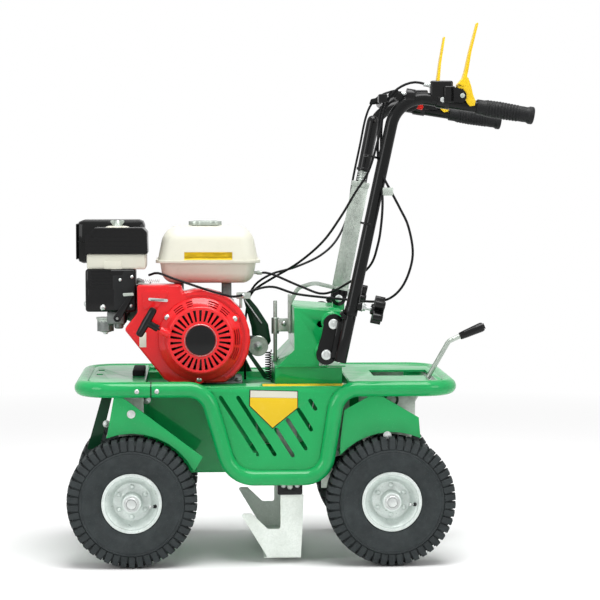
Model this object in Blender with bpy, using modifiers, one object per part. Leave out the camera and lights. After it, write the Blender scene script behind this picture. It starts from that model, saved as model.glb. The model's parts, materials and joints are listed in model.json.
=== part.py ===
"""Petrol turf cutter: +X is the rear (handlebar), -Y the near side, +Z up, metres, ground at Z = 0.

All pieces are modelled about the engine's crankshaft at X = 0, and one empty moves the
whole machine so that its origin is under the middle of its length.
"""
import math

import bmesh
import bpy
from mathutils import Matrix, Vector

# Clearance between pieces that touch on the real machine
GAP = 0.0003

# Wheels and axles
TYRE_OD = 0.265
TYRE_WIDTH = 0.088
TYRE_LUGS = 16
LUG_DEPTH = 0.0045
BEAD_RADIUS = 0.061
TRACK_HALF = 0.183
FRONT_AXLE_X = -0.1395
REAR_AXLE_X = 0.3865
AXLE_RADIUS = 0.010
AXLE_HALF = 0.2295
HUB_RADIUS = 0.023

# Welded tube frame
FRAME_TUBE_RADIUS = 0.016
FRAME_SIDES = 10
FRAME_HALF = 0.200
FRAME_Z = 0.361
BOW_FRONT_X = -0.241
BOW_JOINT_X = -0.100
BOW_CORNER = 0.060
REAR_BAR_X = 0.509
REAR_CORNER = 0.060
U_TOP_FRONT_X = 0.011
U_LOW_FRONT_X = 0.063
U_LOW_REAR_X = 0.250
U_TOP_REAR_X = 0.278
U_LOW_Z = 0.181
U_TOP_FRONT_FILLET = 0.050
U_LOW_FRONT_FILLET = 0.060
U_LOW_REAR_FILLET = 0.048
U_TOP_REAR_FILLET = 0.048

# Deck sheet
SHEET = 0.004
DECK_TOP = 0.375
STRIP_TOP = 0.365
TRAY_TOP = 0.352
TRAY_HALF = 0.127
TRAY_FRONT_X = -0.112
TRAY_REAR_X = 0.300
STRIP_HALF = 0.1834
GUARD_SHEET = 0.003
GUARD_SLOTS = 6

# Tower that carries the handlebar
TOWER_HALF = 0.140
TOWER_SHEET = 0.003
TOWER_BASE_FRONT_X = 0.153
TOWER_BASE_REAR_X = 0.290
TOWER_BASE_TOP = 0.399
UPPER_TUBE_X = 0.268
UPPER_TUBE_Z = 0.493
LOWER_TUBE_X = 0.2536
LOWER_TUBE_Z = 0.431
CROSS_TUBE_RADIUS = 0.018
CROSS_TUBE_HALF = 0.190

# Blade and its hanger
BLADE_HALF = 0.175
BLADE_SHEET = 0.004
PIVOT_X = 0.181
PIVOT_Z = 0.159
PIN_RADIUS = 0.006
LIFT_ROD_X = 0.158
LIFT_ROD_RADIUS = 0.004
LIFT_ROD_TOP = 0.528

# Engine
CRANK_Z = 0.458
CRANK_RADIUS = 0.012
SHROUD_RADIUS = 0.102
SHROUD_FACE_Y = -0.140
SHROUD_BACK_Y = -0.062
SHROUD_SHEET = 0.003
CYLINDER_TILT = math.radians(25.0)
TANK_BOTTOM = 0.569
TANK_FLANGE_Z = 0.615
TANK_TOP = 0.687

# Belt drive to the blade's eccentric
ENGINE_PITCH_RADIUS = 0.033
DRIVEN_PITCH_RADIUS = 0.045
DRIVEN_X = 0.088
DRIVEN_Z = 0.290
BELT_Y = 0.139
BELT_WIDTH = 0.014
BELT_HEIGHT = 0.008
PULLEY_WIDTH = 0.022
PULLEY_LIP = 0.005

# Handlebar
HANDLE_HALF = 0.220
HANDLE_TUBE_RADIUS = 0.0125
SEAM_X = 0.3004
SEAM_Z = 0.511
CORNER_X = 0.3954
CORNER_Z = 0.9542
CORNER_RADIUS = 0.065
GRIP_START_X = 0.553
GRIP_END_X = 0.671
GRIP_SLOPE = 0.1567
HANDLE_TILT = math.atan2(CORNER_X - SEAM_X, CORNER_Z - SEAM_Z)

# The machine's middle, halfway between the front tyres and the grips
X_MIDDLE = 0.5 * (FRONT_AXLE_X - 0.5 * TYRE_OD + GRIP_END_X)

# Colours (linear values)
GREEN = (0.015, 0.463, 0.133)
DARK_GREEN = (0.003, 0.069, 0.027)
RED = (0.807, 0.019, 0.025)
OFF_WHITE = (0.791, 0.791, 0.716)
YELLOW = (0.913, 0.651, 0.044)
ZINC = (0.392, 0.451, 0.376)
PALE_STEEL = (0.768, 0.823, 0.768)
RIM_GREY = (0.578, 0.631, 0.604)
BLACK = (0.014, 0.014, 0.014)
RUBBER = (0.059, 0.064, 0.068)
ALUMINIUM = (0.55, 0.56, 0.55)


for old in list(bpy.data.objects):
    bpy.data.objects.remove(old, do_unlink=True)

machine = bpy.data.collections.new("turf_cutter")
bpy.context.scene.collection.children.link(machine)

root = bpy.data.objects.new("turf_cutter_root", None)
root.location = (-X_MIDDLE, 0.0, 0.0)
machine.objects.link(root)
materials = {}


def material(name, colour, roughness, metallic):
    """Return the named Principled material, made on first use."""
    if name not in materials:
        made = bpy.data.materials.new(name)
        made.use_nodes = True
        shader = made.node_tree.nodes["Principled BSDF"]
        shader.inputs["Base Color"].default_value = (*colour, 1.0)
        shader.inputs["Roughness"].default_value = roughness
        shader.inputs["Metallic"].default_value = metallic
        materials[name] = made
    return materials[name]


def paint_green():
    return material("green_paint", GREEN, 0.35, 0.0)


def zinc_plate():
    return material("zinc_plate", ZINC, 0.4, 0.9)


def black_paint():
    return material("black_paint", BLACK, 0.35, 0.0)


def black_plastic():
    return material("black_plastic", BLACK, 0.55, 0.0)


def machined_steel():
    return material("machined_steel", PALE_STEEL, 0.35, 0.9)


def cast_aluminium():
    return material("cast_aluminium", ALUMINIUM, 0.5, 0.8)


def object_from_bmesh(name, shape):
    """Link a new object that holds the bmesh."""
    mesh = bpy.data.meshes.new(name)
    shape.normal_update()
    shape.to_mesh(mesh)
    shape.free()
    made = bpy.data.objects.new(name, mesh)
    machine.objects.link(made)
    return made


def baked(obj):
    """Turn an object with modifiers, or a curve, into a plain welded mesh object."""
    bpy.context.view_layer.update()
    graph = bpy.context.evaluated_depsgraph_get()
    mesh = bpy.data.meshes.new_from_object(obj.evaluated_get(graph))
    shape = bmesh.new()
    shape.from_mesh(mesh)
    shape.transform(obj.matrix_world)
    bmesh.ops.remove_doubles(shape, verts=shape.verts, dist=1e-6)
    name = obj.name
    bpy.data.objects.remove(obj, do_unlink=True)
    bpy.data.meshes.remove(mesh)
    return object_from_bmesh(name, shape)


def box(name, low, high, bevel=0.0, segments=1):
    """Make a box between two corners, with bevelled edges if asked."""
    shape = bmesh.new()
    bmesh.ops.create_cube(shape, size=1.0)
    size = [top - bottom for bottom, top in zip(low, high)]
    middle = [0.5 * (top + bottom) for bottom, top in zip(low, high)]
    bmesh.ops.scale(shape, vec=size, verts=shape.verts)
    bmesh.ops.translate(shape, vec=middle, verts=shape.verts)
    if bevel:
        bmesh.ops.bevel(shape, geom=shape.edges, offset=bevel, segments=segments,
                        affect="EDGES", profile=0.5)
    return object_from_bmesh(name, shape)


def rod(name, start, end, radius, sides=16, end_radius=None):
    """Make a closed cylinder or cone between two points."""
    start = Vector(start)
    end = Vector(end)
    far_radius = radius if end_radius is None else end_radius
    shape = bmesh.new()
    bmesh.ops.create_cone(shape, cap_ends=True, segments=sides, radius1=radius,
                          radius2=far_radius, depth=(end - start).length)
    turn = (end - start).to_track_quat("Z", "Y").to_matrix().to_4x4()
    shape.transform(Matrix.Translation(0.5 * (start + end)) @ turn)
    return object_from_bmesh(name, shape)


def across(name, x, z, radius, y_start, y_end, sides=16, end_radius=None):
    """Make a cylinder that lies across the machine."""
    return rod(name, (x, y_start, z), (x, y_end, z), radius, sides, end_radius)


def extruded(name, outline, depth, holes=()):
    """Fill a flat outline, with its holes, and give it a depth centred on the XY plane."""
    curve = bpy.data.curves.new(name, "CURVE")
    curve.dimensions = "2D"
    curve.fill_mode = "BOTH"
    curve.extrude = 0.5 * depth
    for loop in (outline, *holes):
        spline = curve.splines.new("POLY")
        spline.points.add(len(loop) - 1)
        for point, (x, y) in zip(spline.points, loop):
            point.co = (x, y, 0.0, 1.0)
        spline.use_cyclic_u = True
    flat = bpy.data.objects.new(name, curve)
    machine.objects.link(flat)
    return baked(flat)


def plate(name, outline, y_start, y_end, holes=()):
    """Extrude an outline of (x, z) points across the machine from y_start to y_end."""
    upright = extruded(name, outline, abs(y_end - y_start), holes)
    upright.data.transform(Matrix.Rotation(math.pi / 2, 4, "X"))
    upright.data.transform(Matrix.Translation((0.0, 0.5 * (y_start + y_end), 0.0)))
    return upright


def sheet(name, outline, bottom, top, holes=()):
    """Extrude an outline of (x, y) points upwards from bottom to top."""
    flat = extruded(name, outline, top - bottom, holes)
    flat.data.transform(Matrix.Translation((0.0, 0.0, 0.5 * (bottom + top))))
    return flat


def tube(name, points, radius, sides=12, closed=False):
    """Sweep a round section along a polyline."""
    curve = bpy.data.curves.new(name, "CURVE")
    curve.dimensions = "3D"
    curve.bevel_depth = radius
    curve.bevel_resolution = sides // 2 - 2
    curve.use_fill_caps = not closed
    curve.twist_mode = "MINIMUM"
    spline = curve.splines.new("POLY")
    spline.points.add(len(points) - 1)
    for point, place in zip(spline.points, points):
        point.co = (*place, 1.0)
    spline.use_cyclic_u = closed
    swept = bpy.data.objects.new(name, curve)
    machine.objects.link(swept)
    return baked(swept)


def turned(name, profile, centre, axis, sides=24, ring=False):
    """Turn a profile of (radius, height) points, its outer side listed top to bottom, about an axis."""
    shape = bmesh.new()
    verts = [shape.verts.new((radius, 0.0, height)) for radius, height in profile]
    ends = verts[1:] + verts[:1] if ring else verts[1:]
    for first, second in zip(verts, ends):
        shape.edges.new((first, second))
    turned_object = object_from_bmesh(name, shape)
    screw = turned_object.modifiers.new("turn", "SCREW")
    screw.steps = sides
    screw.render_steps = sides
    screw.use_merge_vertices = True
    screw.merge_threshold = 0.00001
    turned_object = baked(turned_object)
    turn = Vector(axis).to_track_quat("Z", "Y").to_matrix().to_4x4()
    turned_object.data.transform(Matrix.Translation(centre) @ turn)
    return turned_object


def moved(obj, matrix):
    obj.data.transform(matrix)
    return obj


def turned_about(obj, angle, x, z):
    """Turn a mesh about a line across the machine; a positive angle leans its top to the rear."""
    there = Matrix.Translation((x, 0.0, z))
    back = Matrix.Translation((-x, 0.0, -z))
    return moved(obj, there @ Matrix.Rotation(angle, 4, "Y") @ back)


def mirrored(obj, name):
    """Copy a mesh to the other side of the machine."""
    copy = bpy.data.objects.new(name, obj.data.copy())
    machine.objects.link(copy)
    copy.data.transform(Matrix.Scale(-1.0, 4, (0.0, 1.0, 0.0)))
    copy.data.flip_normals()
    return copy


def combine(target, tools, operation):
    """Apply one exact Boolean for each tool, and remove the tools."""
    for number, tool in enumerate(tools):
        step = target.modifiers.new(f"{operation.lower()}_{number}", "BOOLEAN")
        step.operation = operation
        step.solver = "EXACT"
        step.object = tool
    name = target.name
    result = baked(target)
    for tool in tools:
        bpy.data.objects.remove(tool, do_unlink=True)
    result.name = name
    result.data.name = name
    return result


def fuse(target, *tools):
    return combine(target, tools, "UNION")


def cut(target, *tools):
    return combine(target, tools, "DIFFERENCE")


def finish(obj, name, look, origin=(0.0, 0.0, 0.0), angle=40.0):
    """Name a finished piece, give it its look and set its origin, on its joint if it moves."""
    obj.name = name
    obj.data.name = name
    obj.data.transform(Matrix.Translation([-value for value in origin]))
    obj.location = origin
    obj.parent = root
    obj.data.materials.clear()
    obj.data.materials.append(look)
    obj.data.shade_smooth()
    obj.data.set_sharp_from_angle(angle=math.radians(angle))
    return obj


def arc(centre, radius, start, end, steps):
    """Points on an arc, with angles in degrees."""
    angles = [math.radians(start + (end - start) * step / steps) for step in range(steps + 1)]
    return [(centre[0] + radius * math.cos(a), centre[1] + radius * math.sin(a)) for a in angles]


def circle(x, z, radius, steps=16):
    return arc((x, z), radius, 0.0, 360.0 - 360.0 / steps, steps - 1)


def filleted(points, radii, steps=3, closed=False):
    """Round the corners of a polyline; a radius of 0 leaves a corner sharp."""
    corners = [Vector(point) for point in points]
    count = len(corners)
    result = []
    for index, (corner, radius) in enumerate(zip(corners, radii)):
        is_end = not closed and index in (0, count - 1)
        if radius == 0.0 or is_end:
            result.append(corner.copy())
            continue
        to_last = (corners[index - 1] - corner).normalized()
        to_next = (corners[(index + 1) % count] - corner).normalized()
        half = 0.5 * to_last.angle(to_next)
        centre = corner + (to_last + to_next).normalized() * (radius / math.sin(half))
        first = corner + to_last * (radius / math.tan(half)) - centre
        last = corner + to_next * (radius / math.tan(half)) - centre
        sweep = first.angle(last)
        for step in range(steps + 1):
            share = step / steps
            weight_first = math.sin((1.0 - share) * sweep) / math.sin(sweep)
            weight_last = math.sin(share * sweep) / math.sin(sweep)
            result.append(centre + first * weight_first + last * weight_last)
    return result


def offset_path(points, distance, closed=False):
    """Shift a flat path sideways, to the left of its run for a positive distance."""
    points = [Vector(point) for point in points]
    count = len(points)
    result = []
    for index, point in enumerate(points):
        before = points[index - 1] if closed or index > 0 else None
        after = points[(index + 1) % count] if closed or index < count - 1 else None
        runs = []
        if before is not None:
            runs.append((point - before).normalized())
        if after is not None:
            runs.append((after - point).normalized())
        normals = [Vector((-run.y, run.x)) for run in runs]
        middle = sum(normals, Vector((0.0, 0.0))).normalized()
        result.append(point + middle * (distance / middle.dot(normals[0])))
    return result


# Frame, deck and guards

def side_corners():
    """Corners of one side of the main frame's centreline, from the bow joint to the rear bar."""
    return [
        (BOW_JOINT_X, FRAME_Z),
        (U_TOP_FRONT_X, FRAME_Z),
        (U_LOW_FRONT_X, U_LOW_Z),
        (U_LOW_REAR_X, U_LOW_Z),
        (U_TOP_REAR_X, FRAME_Z),
        (REAR_BAR_X, FRAME_Z),
    ]


def side_radii():
    return [0.0, U_TOP_FRONT_FILLET, U_LOW_FRONT_FILLET, U_LOW_REAR_FILLET, U_TOP_REAR_FILLET]


def make_front_bow():
    start = BOW_JOINT_X - GAP
    corners = [
        (start, -FRAME_HALF, FRAME_Z),
        (BOW_FRONT_X, -FRAME_HALF, FRAME_Z),
        (BOW_FRONT_X, FRAME_HALF, FRAME_Z),
        (start, FRAME_HALF, FRAME_Z),
    ]
    path = filleted(corners, [0.0, BOW_CORNER, BOW_CORNER, 0.0])
    finish(tube("bow", path, FRAME_TUBE_RADIUS, FRAME_SIDES), "front_bow", paint_green())


def make_side_frame():
    near = [(x, -FRAME_HALF, z) for x, z in side_corners()]
    far = [(x, FRAME_HALF, z) for x, z in reversed(side_corners())]
    radii = side_radii() + [REAR_CORNER, REAR_CORNER] + list(reversed(side_radii()))
    path = filleted(near + far, radii)
    finish(tube("frame", path, FRAME_TUBE_RADIUS, FRAME_SIDES), "side_frame", paint_green())


def deck_reach(level):
    """How far inside the tube's centreline a sheet's edge lies at a height above the centreline."""
    return math.sqrt(FRAME_TUBE_RADIUS ** 2 - level ** 2) + GAP


def trough_outline(floor_top, nudge):
    """Side view of a sheet that drops from the front deck to a floor and climbs to the rear deck."""
    front = TRAY_FRONT_X + nudge
    rear = TRAY_REAR_X - nudge
    rim = DECK_TOP - 0.001 - nudge
    return [
        (front - SHEET, rim),
        (front - SHEET, floor_top - SHEET),
        (rear + SHEET, floor_top - SHEET),
        (rear + SHEET, rim),
        (rear, rim),
        (rear, floor_top),
        (front, floor_top),
        (front, rim),
    ]


def make_deck():
    sheet_bottom = DECK_TOP - SHEET
    tray_bottom = TRAY_TOP - SHEET
    strip_bottom = STRIP_TOP - SHEET
    reach = deck_reach(sheet_bottom - FRAME_Z)
    side = FRAME_HALF - reach
    front = BOW_FRONT_X + reach
    rear = REAR_BAR_X - reach
    inner_front = TRAY_FRONT_X - 0.5 * SHEET
    inner_rear = TRAY_REAR_X + 0.5 * SHEET
    front_plan = filleted(
        [(inner_front, -side), (front, -side), (front, side), (inner_front, side)],
        [0.0, BOW_CORNER - reach, BOW_CORNER - reach, 0.0])
    rear_plan = filleted(
        [(inner_rear, -side), (rear, -side), (rear, side), (inner_rear, side)],
        [0.0, REAR_CORNER - reach, REAR_CORNER - reach, 0.0])
    slots = [[(-0.218, y - 0.010), (-0.205, y - 0.010), (-0.205, y + 0.010), (-0.218, y + 0.010)]
             for y in (-0.023, 0.067)]
    window = [(0.360, -0.077), (0.466, -0.077), (0.466, -0.165), (0.482, -0.165),
              (0.482, 0.045), (0.360, 0.045)]
    deck = sheet("deck", front_plan, sheet_bottom, DECK_TOP, slots)
    pieces = [
        sheet("rear_sheet", rear_plan, sheet_bottom, DECK_TOP, [window]),
        plate("tray", trough_outline(TRAY_TOP, 0.0), -TRAY_HALF, TRAY_HALF),
    ]
    nudge = 0.0002
    tab_inner = 0.170
    tab_edge = FRAME_HALF - 0.5 * GUARD_SHEET - GAP
    for sign in (-1.0, 1.0):
        wall_inner = TRAY_HALF - SHEET
        pieces.append(plate("strip", trough_outline(STRIP_TOP, nudge),
                            sign * (wall_inner + nudge), sign * STRIP_HALF))
        low, high = sorted((sign * wall_inner, sign * (TRAY_HALF - nudge)))
        pieces.append(box("wall", (TRAY_FRONT_X - 0.002, low, tray_bottom + nudge),
                          (TRAY_REAR_X + 0.002, high, STRIP_TOP - nudge)))
        low, high = sorted((sign * tab_inner, sign * tab_edge))
        pieces.append(box("tab", (0.020, low, strip_bottom + nudge), (0.272, high, STRIP_TOP - nudge)))
    deck = fuse(deck, *pieces)
    belt_slot = box("belt_slot", (-0.006, TRAY_HALF + 0.0005, 0.34), (0.108, 0.152, 0.38))
    rod_hole = rod("rod_hole", (LIFT_ROD_X, 0.0, 0.34), (LIFT_ROD_X, 0.0, 0.38),
                   LIFT_ROD_RADIUS + 0.002, 12)
    finish(cut(deck, belt_slot, rod_hole), "deck", paint_green(), angle=20.0)


def clipped_below(path, top):
    """Keep the part of a path below a height, with points added where it crosses that height."""
    kept = []
    for first, second in zip(path, path[1:]):
        if (first.y <= top) != (second.y <= top):
            share = (top - first.y) / (second.y - first.y)
            kept.append(first.lerp(second, share))
        if second.y <= top:
            kept.append(second)
    return kept


def slot_outline(top, bottom, width):
    """A slanted slot with round ends between two points."""
    top = Vector(top)
    bottom = Vector(bottom)
    along = (bottom - top).normalized()
    heading = math.degrees(math.atan2(along.y, along.x))
    half = 0.5 * width
    return (arc(bottom - along * half, half, heading - 90.0, heading + 90.0, 3)
            + arc(top + along * half, half, heading + 90.0, heading + 270.0, 3))


def make_side_guards():
    inner = offset_path(filleted(side_corners(), side_radii() + [0.0]), FRAME_TUBE_RADIUS + GAP)
    outline = clipped_below(inner, STRIP_TOP)
    slot_reference_z = 0.348
    slot_first_x = 0.038
    slot_pitch = 0.0353
    slot_slope = 0.634
    slot_tops = [0.348, 0.348, 0.283, 0.302, 0.323, 0.341]
    slot_bottoms = [0.2245, 0.2245, 0.2225, 0.2365, 0.275, 0.317]
    slots = []
    for number in range(GUARD_SLOTS):
        x = slot_first_x + number * slot_pitch
        ends = [(x + slot_slope * (slot_reference_z - z), z)
                for z in (slot_tops[number], slot_bottoms[number])]
        slots.append(slot_outline(ends[0], ends[1], 0.008))
    half = 0.5 * GUARD_SHEET
    guard = plate("guard", outline, -FRAME_HALF - half, -FRAME_HALF + half, slots)
    far = mirrored(guard, "far_guard")
    finish(guard, "side_guard_left", paint_green())
    finish(far, "side_guard_right", paint_green())


# Tower, lever bracket and lift rod guide

LEVER_PIVOT_X = 0.2916
LEVER_PIVOT_Z = 0.533
LEVER_BRACKET_HALF = 0.012


def tower_outline():
    return [
        (TOWER_BASE_FRONT_X, STRIP_TOP + GAP),
        (TOWER_BASE_REAR_X, STRIP_TOP + GAP),
        (TOWER_BASE_REAR_X, TOWER_BASE_TOP),
        (0.243, TOWER_BASE_TOP),
        (0.243, 0.455),
        (0.292, 0.492),
        (0.292, 0.513),
        (0.192, 0.521),
        (0.192, 0.435),
        (0.1595, 0.402),
        (0.1595, TOWER_BASE_TOP),
        (TOWER_BASE_FRONT_X, TOWER_BASE_TOP),
    ]


def lever_bracket():
    """Pivot bracket that is welded on the tower's top, with its pin."""
    radius = 0.0125
    front = LEVER_PIVOT_X - radius
    rear = LEVER_PIVOT_X + radius
    foot = 0.508
    outline = [(front, foot), (rear, foot)]
    outline += arc((LEVER_PIVOT_X, LEVER_PIVOT_Z), radius, 0.0, 180.0, 6)
    bracket = plate("bracket", outline, -LEVER_BRACKET_HALF, LEVER_BRACKET_HALF)
    pin = across("pin", LEVER_PIVOT_X, LEVER_PIVOT_Z, 0.004, -0.019, 0.019, 8)
    return bracket, pin


def make_tower():
    outline = tower_outline()
    inner = [Vector(point) for point in offset_path(outline, TOWER_SHEET, closed=True)]
    for point in inner[:2]:
        point.y = STRIP_TOP - 0.01
    tower = plate("tower", outline, -TOWER_HALF, TOWER_HALF)
    hollow = plate("hollow", inner, -TOWER_HALF + TOWER_SHEET, TOWER_HALF - TOWER_SHEET)
    sight_hole = across("sight_hole", 0.245, 0.488, 0.007, -TOWER_HALF - 0.01, -TOWER_HALF + 0.01, 12)
    rod_notch = box("rod_notch", (TOWER_BASE_FRONT_X - 0.002, -0.007, 0.350), (0.1660, 0.007, 0.4125))
    tower = cut(tower, hollow, sight_hole, rod_notch)
    upper = across("upper", UPPER_TUBE_X, UPPER_TUBE_Z, CROSS_TUBE_RADIUS,
                   -CROSS_TUBE_HALF, CROSS_TUBE_HALF, 12)
    lower = across("lower", LOWER_TUBE_X, LOWER_TUBE_Z, CROSS_TUBE_RADIUS,
                   -CROSS_TUBE_HALF, CROSS_TUBE_HALF, 12)
    tower = fuse(tower, upper, lower, *lever_bracket())
    finish(tower, "tower", paint_green())


def make_rod_guide():
    strap_front = 0.1847
    strap_rear = 0.192 - GAP
    guide = box("guide", (strap_front, -0.022, 0.460), (strap_rear, 0.012, 0.541))
    foot = box("foot", (0.163, -0.012, 0.463), (0.188, 0.012, 0.490))
    boss = rod("boss", (LIFT_ROD_X, 0.0, 0.458), (LIFT_ROD_X, 0.0, 0.492), 0.008, 16)
    quadrant = tube("quadrant_curve", filleted(
        [(0.188, -0.0205, 0.530), (0.205, -0.0205, 0.556), (0.240, -0.0205, 0.566),
         (0.272, -0.0205, 0.557)], [0.0, 0.02, 0.03, 0.0], 2), 0.003, 6)
    guide = fuse(guide, foot, boss, quadrant)
    bore = rod("bore", (LIFT_ROD_X, 0.0, 0.45), (LIFT_ROD_X, 0.0, 0.50), LIFT_ROD_RADIUS + GAP, 12)
    finish(cut(guide, bore), "rod_guide", zinc_plate())


# Axle carriers and fenders

CARRIER_Y = 0.120
CARRIER_SHEET = 0.004


def make_axle_carriers():
    bottom_radius = 0.024
    top = DECK_TOP - SHEET - GAP
    for name, axle_x, front, rear, beam_front in (
            ("front_axle_carrier", FRONT_AXLE_X, -0.170, -0.117, -0.158),
            ("rear_axle_carrier", REAR_AXLE_X, 0.345, 0.443, 0.372)):
        outline = [(front, top), (front, 0.290)]
        outline += arc((axle_x, 0.5 * TYRE_OD), bottom_radius, 200.0, 340.0, 6)
        outline += [(rear, 0.290), (rear, top)]
        hole = circle(axle_x, 0.5 * TYRE_OD, (AXLE_RADIUS + GAP) / math.cos(math.pi / 12), 12)
        pieces = []
        for sign in (-1.0, 1.0):
            pieces.append(plate("cheek", outline, sign * (CARRIER_Y - 0.5 * CARRIER_SHEET),
                                sign * (CARRIER_Y + 0.5 * CARRIER_SHEET), [hole]))
        beam = box("beam", (beam_front, -CARRIER_Y, 0.318), (beam_front + 0.024, CARRIER_Y, 0.342))
        carrier = fuse(pieces[0], pieces[1], beam)
        if axle_x == REAR_AXLE_X:
            lug = box("lug", (0.403, -CARRIER_Y, 0.288), (0.407, -0.088, 0.312))
            pin = rod("pin", (0.405, -0.100, 0.300), (0.438, -0.100, 0.300), 0.004, 8)
            carrier = fuse(carrier, lug, pin)
        finish(carrier, name, zinc_plate())


FENDER_RADIUS = 0.140
FENDER_INNER = 0.141


def make_fenders():
    """Each fender is a flat web under the frame tube and a curved band over the tyre."""
    top = FRAME_Z - FRAME_TUBE_RADIUS * math.cos(math.pi / FRAME_SIDES) - GAP
    front_web = [(-0.156, top), (0.004, 0.224)]
    front_web += arc((FRONT_AXLE_X, 0.5 * TYRE_OD), FENDER_RADIUS, 26.0, 111.0, 8)
    front_web += [(-0.175, top)]
    rear_web = [(0.368, top), (0.442, 0.302)]
    rear_web += arc((REAR_AXLE_X, 0.5 * TYRE_OD), FENDER_RADIUS, 65.0, 138.0, 8)
    rear_web += [(0.282, 0.250), (0.290, 0.318), (0.340, top)]
    half = 0.5 * GUARD_SHEET
    for end, web, axle_x, first, last in (("front", front_web, FRONT_AXLE_X, 26.0, 111.0),
                                          ("rear", rear_web, REAR_AXLE_X, 65.0, 138.0)):
        centre = (axle_x, 0.5 * TYRE_OD)
        band_outline = (arc(centre, FENDER_RADIUS, first, last, 8)
                        + arc(centre, FENDER_RADIUS + GUARD_SHEET, last, first, 8))
        near = plate("web", web, -FRAME_HALF - half, -FRAME_HALF + half)
        band = plate("band", band_outline, -FRAME_HALF, -FENDER_INNER)
        near = fuse(near, band)
        far = mirrored(near, "far_fender")
        finish(near, f"{end}_fender_left", paint_green())
        finish(far, f"{end}_fender_right", paint_green())


# Drive to the blade

CASE_HALF = 0.100


def make_drive_case():
    top = TRAY_TOP - SHEET - GAP
    outline = [(-0.127, top), (-0.127, 0.177), (0.067, 0.177), (0.118, 0.255), (0.118, top)]
    case = plate("case", outline, -CASE_HALF, CASE_HALF)
    bevel = case.modifiers.new("soft_edges", "BEVEL")
    bevel.width = 0.004
    bevel.segments = 1
    bevel.limit_method = "ANGLE"
    case = baked(case)
    bore = across("bore", DRIVEN_X, DRIVEN_Z, CRANK_RADIUS + GAP, 0.060, CASE_HALF + 0.01)
    finish(cut(case, bore), "drive_case", paint_green())


def pulley_profile(pitch_radius):
    """Rim of a V pulley, from its far edge to its near edge, measured from the belt's middle."""
    outer = pitch_radius + 0.5 * BELT_HEIGHT + 0.001
    groove = pitch_radius - 0.5 * BELT_HEIGHT - GAP - 0.0005
    half = 0.5 * PULLEY_WIDTH
    floor = half - PULLEY_LIP
    floor_side = floor + 0.001
    return [(0.0, half), (outer, half), (outer, half - 0.002), (groove, floor_side - 0.003),
            (groove, -floor_side + 0.003), (outer, -half + 0.002), (outer, -half), (0.0, -half)]


def make_pulleys():
    engine = turned("engine", pulley_profile(ENGINE_PITCH_RADIUS), (0.0, BELT_Y, CRANK_Z), (0, 1, 0), 16)
    engine_bore = across("bore", 0.0, CRANK_Z, CRANK_RADIUS + GAP, BELT_Y - 0.03, BELT_Y + 0.03)
    finish(cut(engine, engine_bore), "engine_pulley", machined_steel(), (0.0, BELT_Y, CRANK_Z))
    driven = turned("driven", pulley_profile(DRIVEN_PITCH_RADIUS), (DRIVEN_X, BELT_Y, DRIVEN_Z), (0, 1, 0), 18)
    shaft = across("shaft", DRIVEN_X, DRIVEN_Z, CRANK_RADIUS, 0.062, BELT_Y)
    finish(fuse(driven, shaft), "driven_pulley", machined_steel(), (DRIVEN_X, BELT_Y, DRIVEN_Z))


def belt_outline(growth):
    """Loop around both pulleys at a distance from the pitch line."""
    run = Vector((DRIVEN_X, DRIVEN_Z)) - Vector((0.0, CRANK_Z))
    lean = math.degrees(math.asin((DRIVEN_PITCH_RADIUS - ENGINE_PITCH_RADIUS) / run.length))
    heading = math.degrees(math.atan2(run.y, run.x))
    upper = arc((0.0, CRANK_Z), ENGINE_PITCH_RADIUS + growth,
                heading + 90.0 + lean, heading + 270.0 - lean, 12)
    lower = arc((DRIVEN_X, DRIVEN_Z), DRIVEN_PITCH_RADIUS + growth,
                heading + 270.0 - lean, heading + 450.0 + lean, 14)
    return upper + lower


def make_belt():
    belt = plate("belt", belt_outline(0.5 * BELT_HEIGHT), BELT_Y - 0.0035, BELT_Y + 0.0035,
                 [belt_outline(-0.5 * BELT_HEIGHT)])
    finish(belt, "drive_belt", material("rubber", RUBBER, 0.8, 0.0))


def make_belt_guard():
    inner_y = TRAY_HALF - 0.0025
    outer_y = 0.172
    wall = 0.0025
    foot = STRIP_TOP + GAP
    crown = [(0.085, 0.420)] + arc((0.0, CRANK_Z), 0.055, 10.0, 180.0, 10)
    outline = [(-0.062, foot), (0.112, foot)] + crown
    inner = offset_path([(-0.062, foot - 0.02), (0.112, foot - 0.02)] + crown, wall, closed=True)
    guard = plate("guard", outline, inner_y, outer_y)
    hollow = plate("hollow", inner, inner_y + wall, outer_y - wall)
    shaft_hole = across("hole", 0.0, CRANK_Z, CRANK_RADIUS + 0.004, inner_y - 0.01, inner_y + 0.01)
    guard = cut(guard, hollow, shaft_hole)
    finish(guard, "belt_guard", material("dark_green_paint", DARK_GREEN, 0.4, 0.0))


# Blade and hanger

def make_hanger():
    leg_y = 0.161
    half = 0.003
    leg = [(0.165, 0.310)] + arc((PIVOT_X, PIVOT_Z), 0.013, 180.0, 360.0, 6) + [(0.197, 0.310)]
    hanger = box("crossbar", (0.151, -leg_y, 0.290), (0.175, leg_y, 0.310), 0.002)
    pieces = []
    for sign in (-1.0, 1.0):
        pieces.append(plate("leg", leg, sign * (leg_y - half), sign * (leg_y + half)))
        pieces.append(across("pin", PIVOT_X, PIVOT_Z, PIN_RADIUS, sign * leg_y, sign * 0.181, 12))
    pieces.append(rod("lift_rod", (LIFT_ROD_X, 0.0, 0.305), (LIFT_ROD_X, 0.0, LIFT_ROD_TOP),
                      LIFT_ROD_RADIUS, 12))
    finish(fuse(hanger, *pieces), "blade_hanger", zinc_plate(), (LIFT_ROD_X, 0.0, 0.300))


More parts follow.
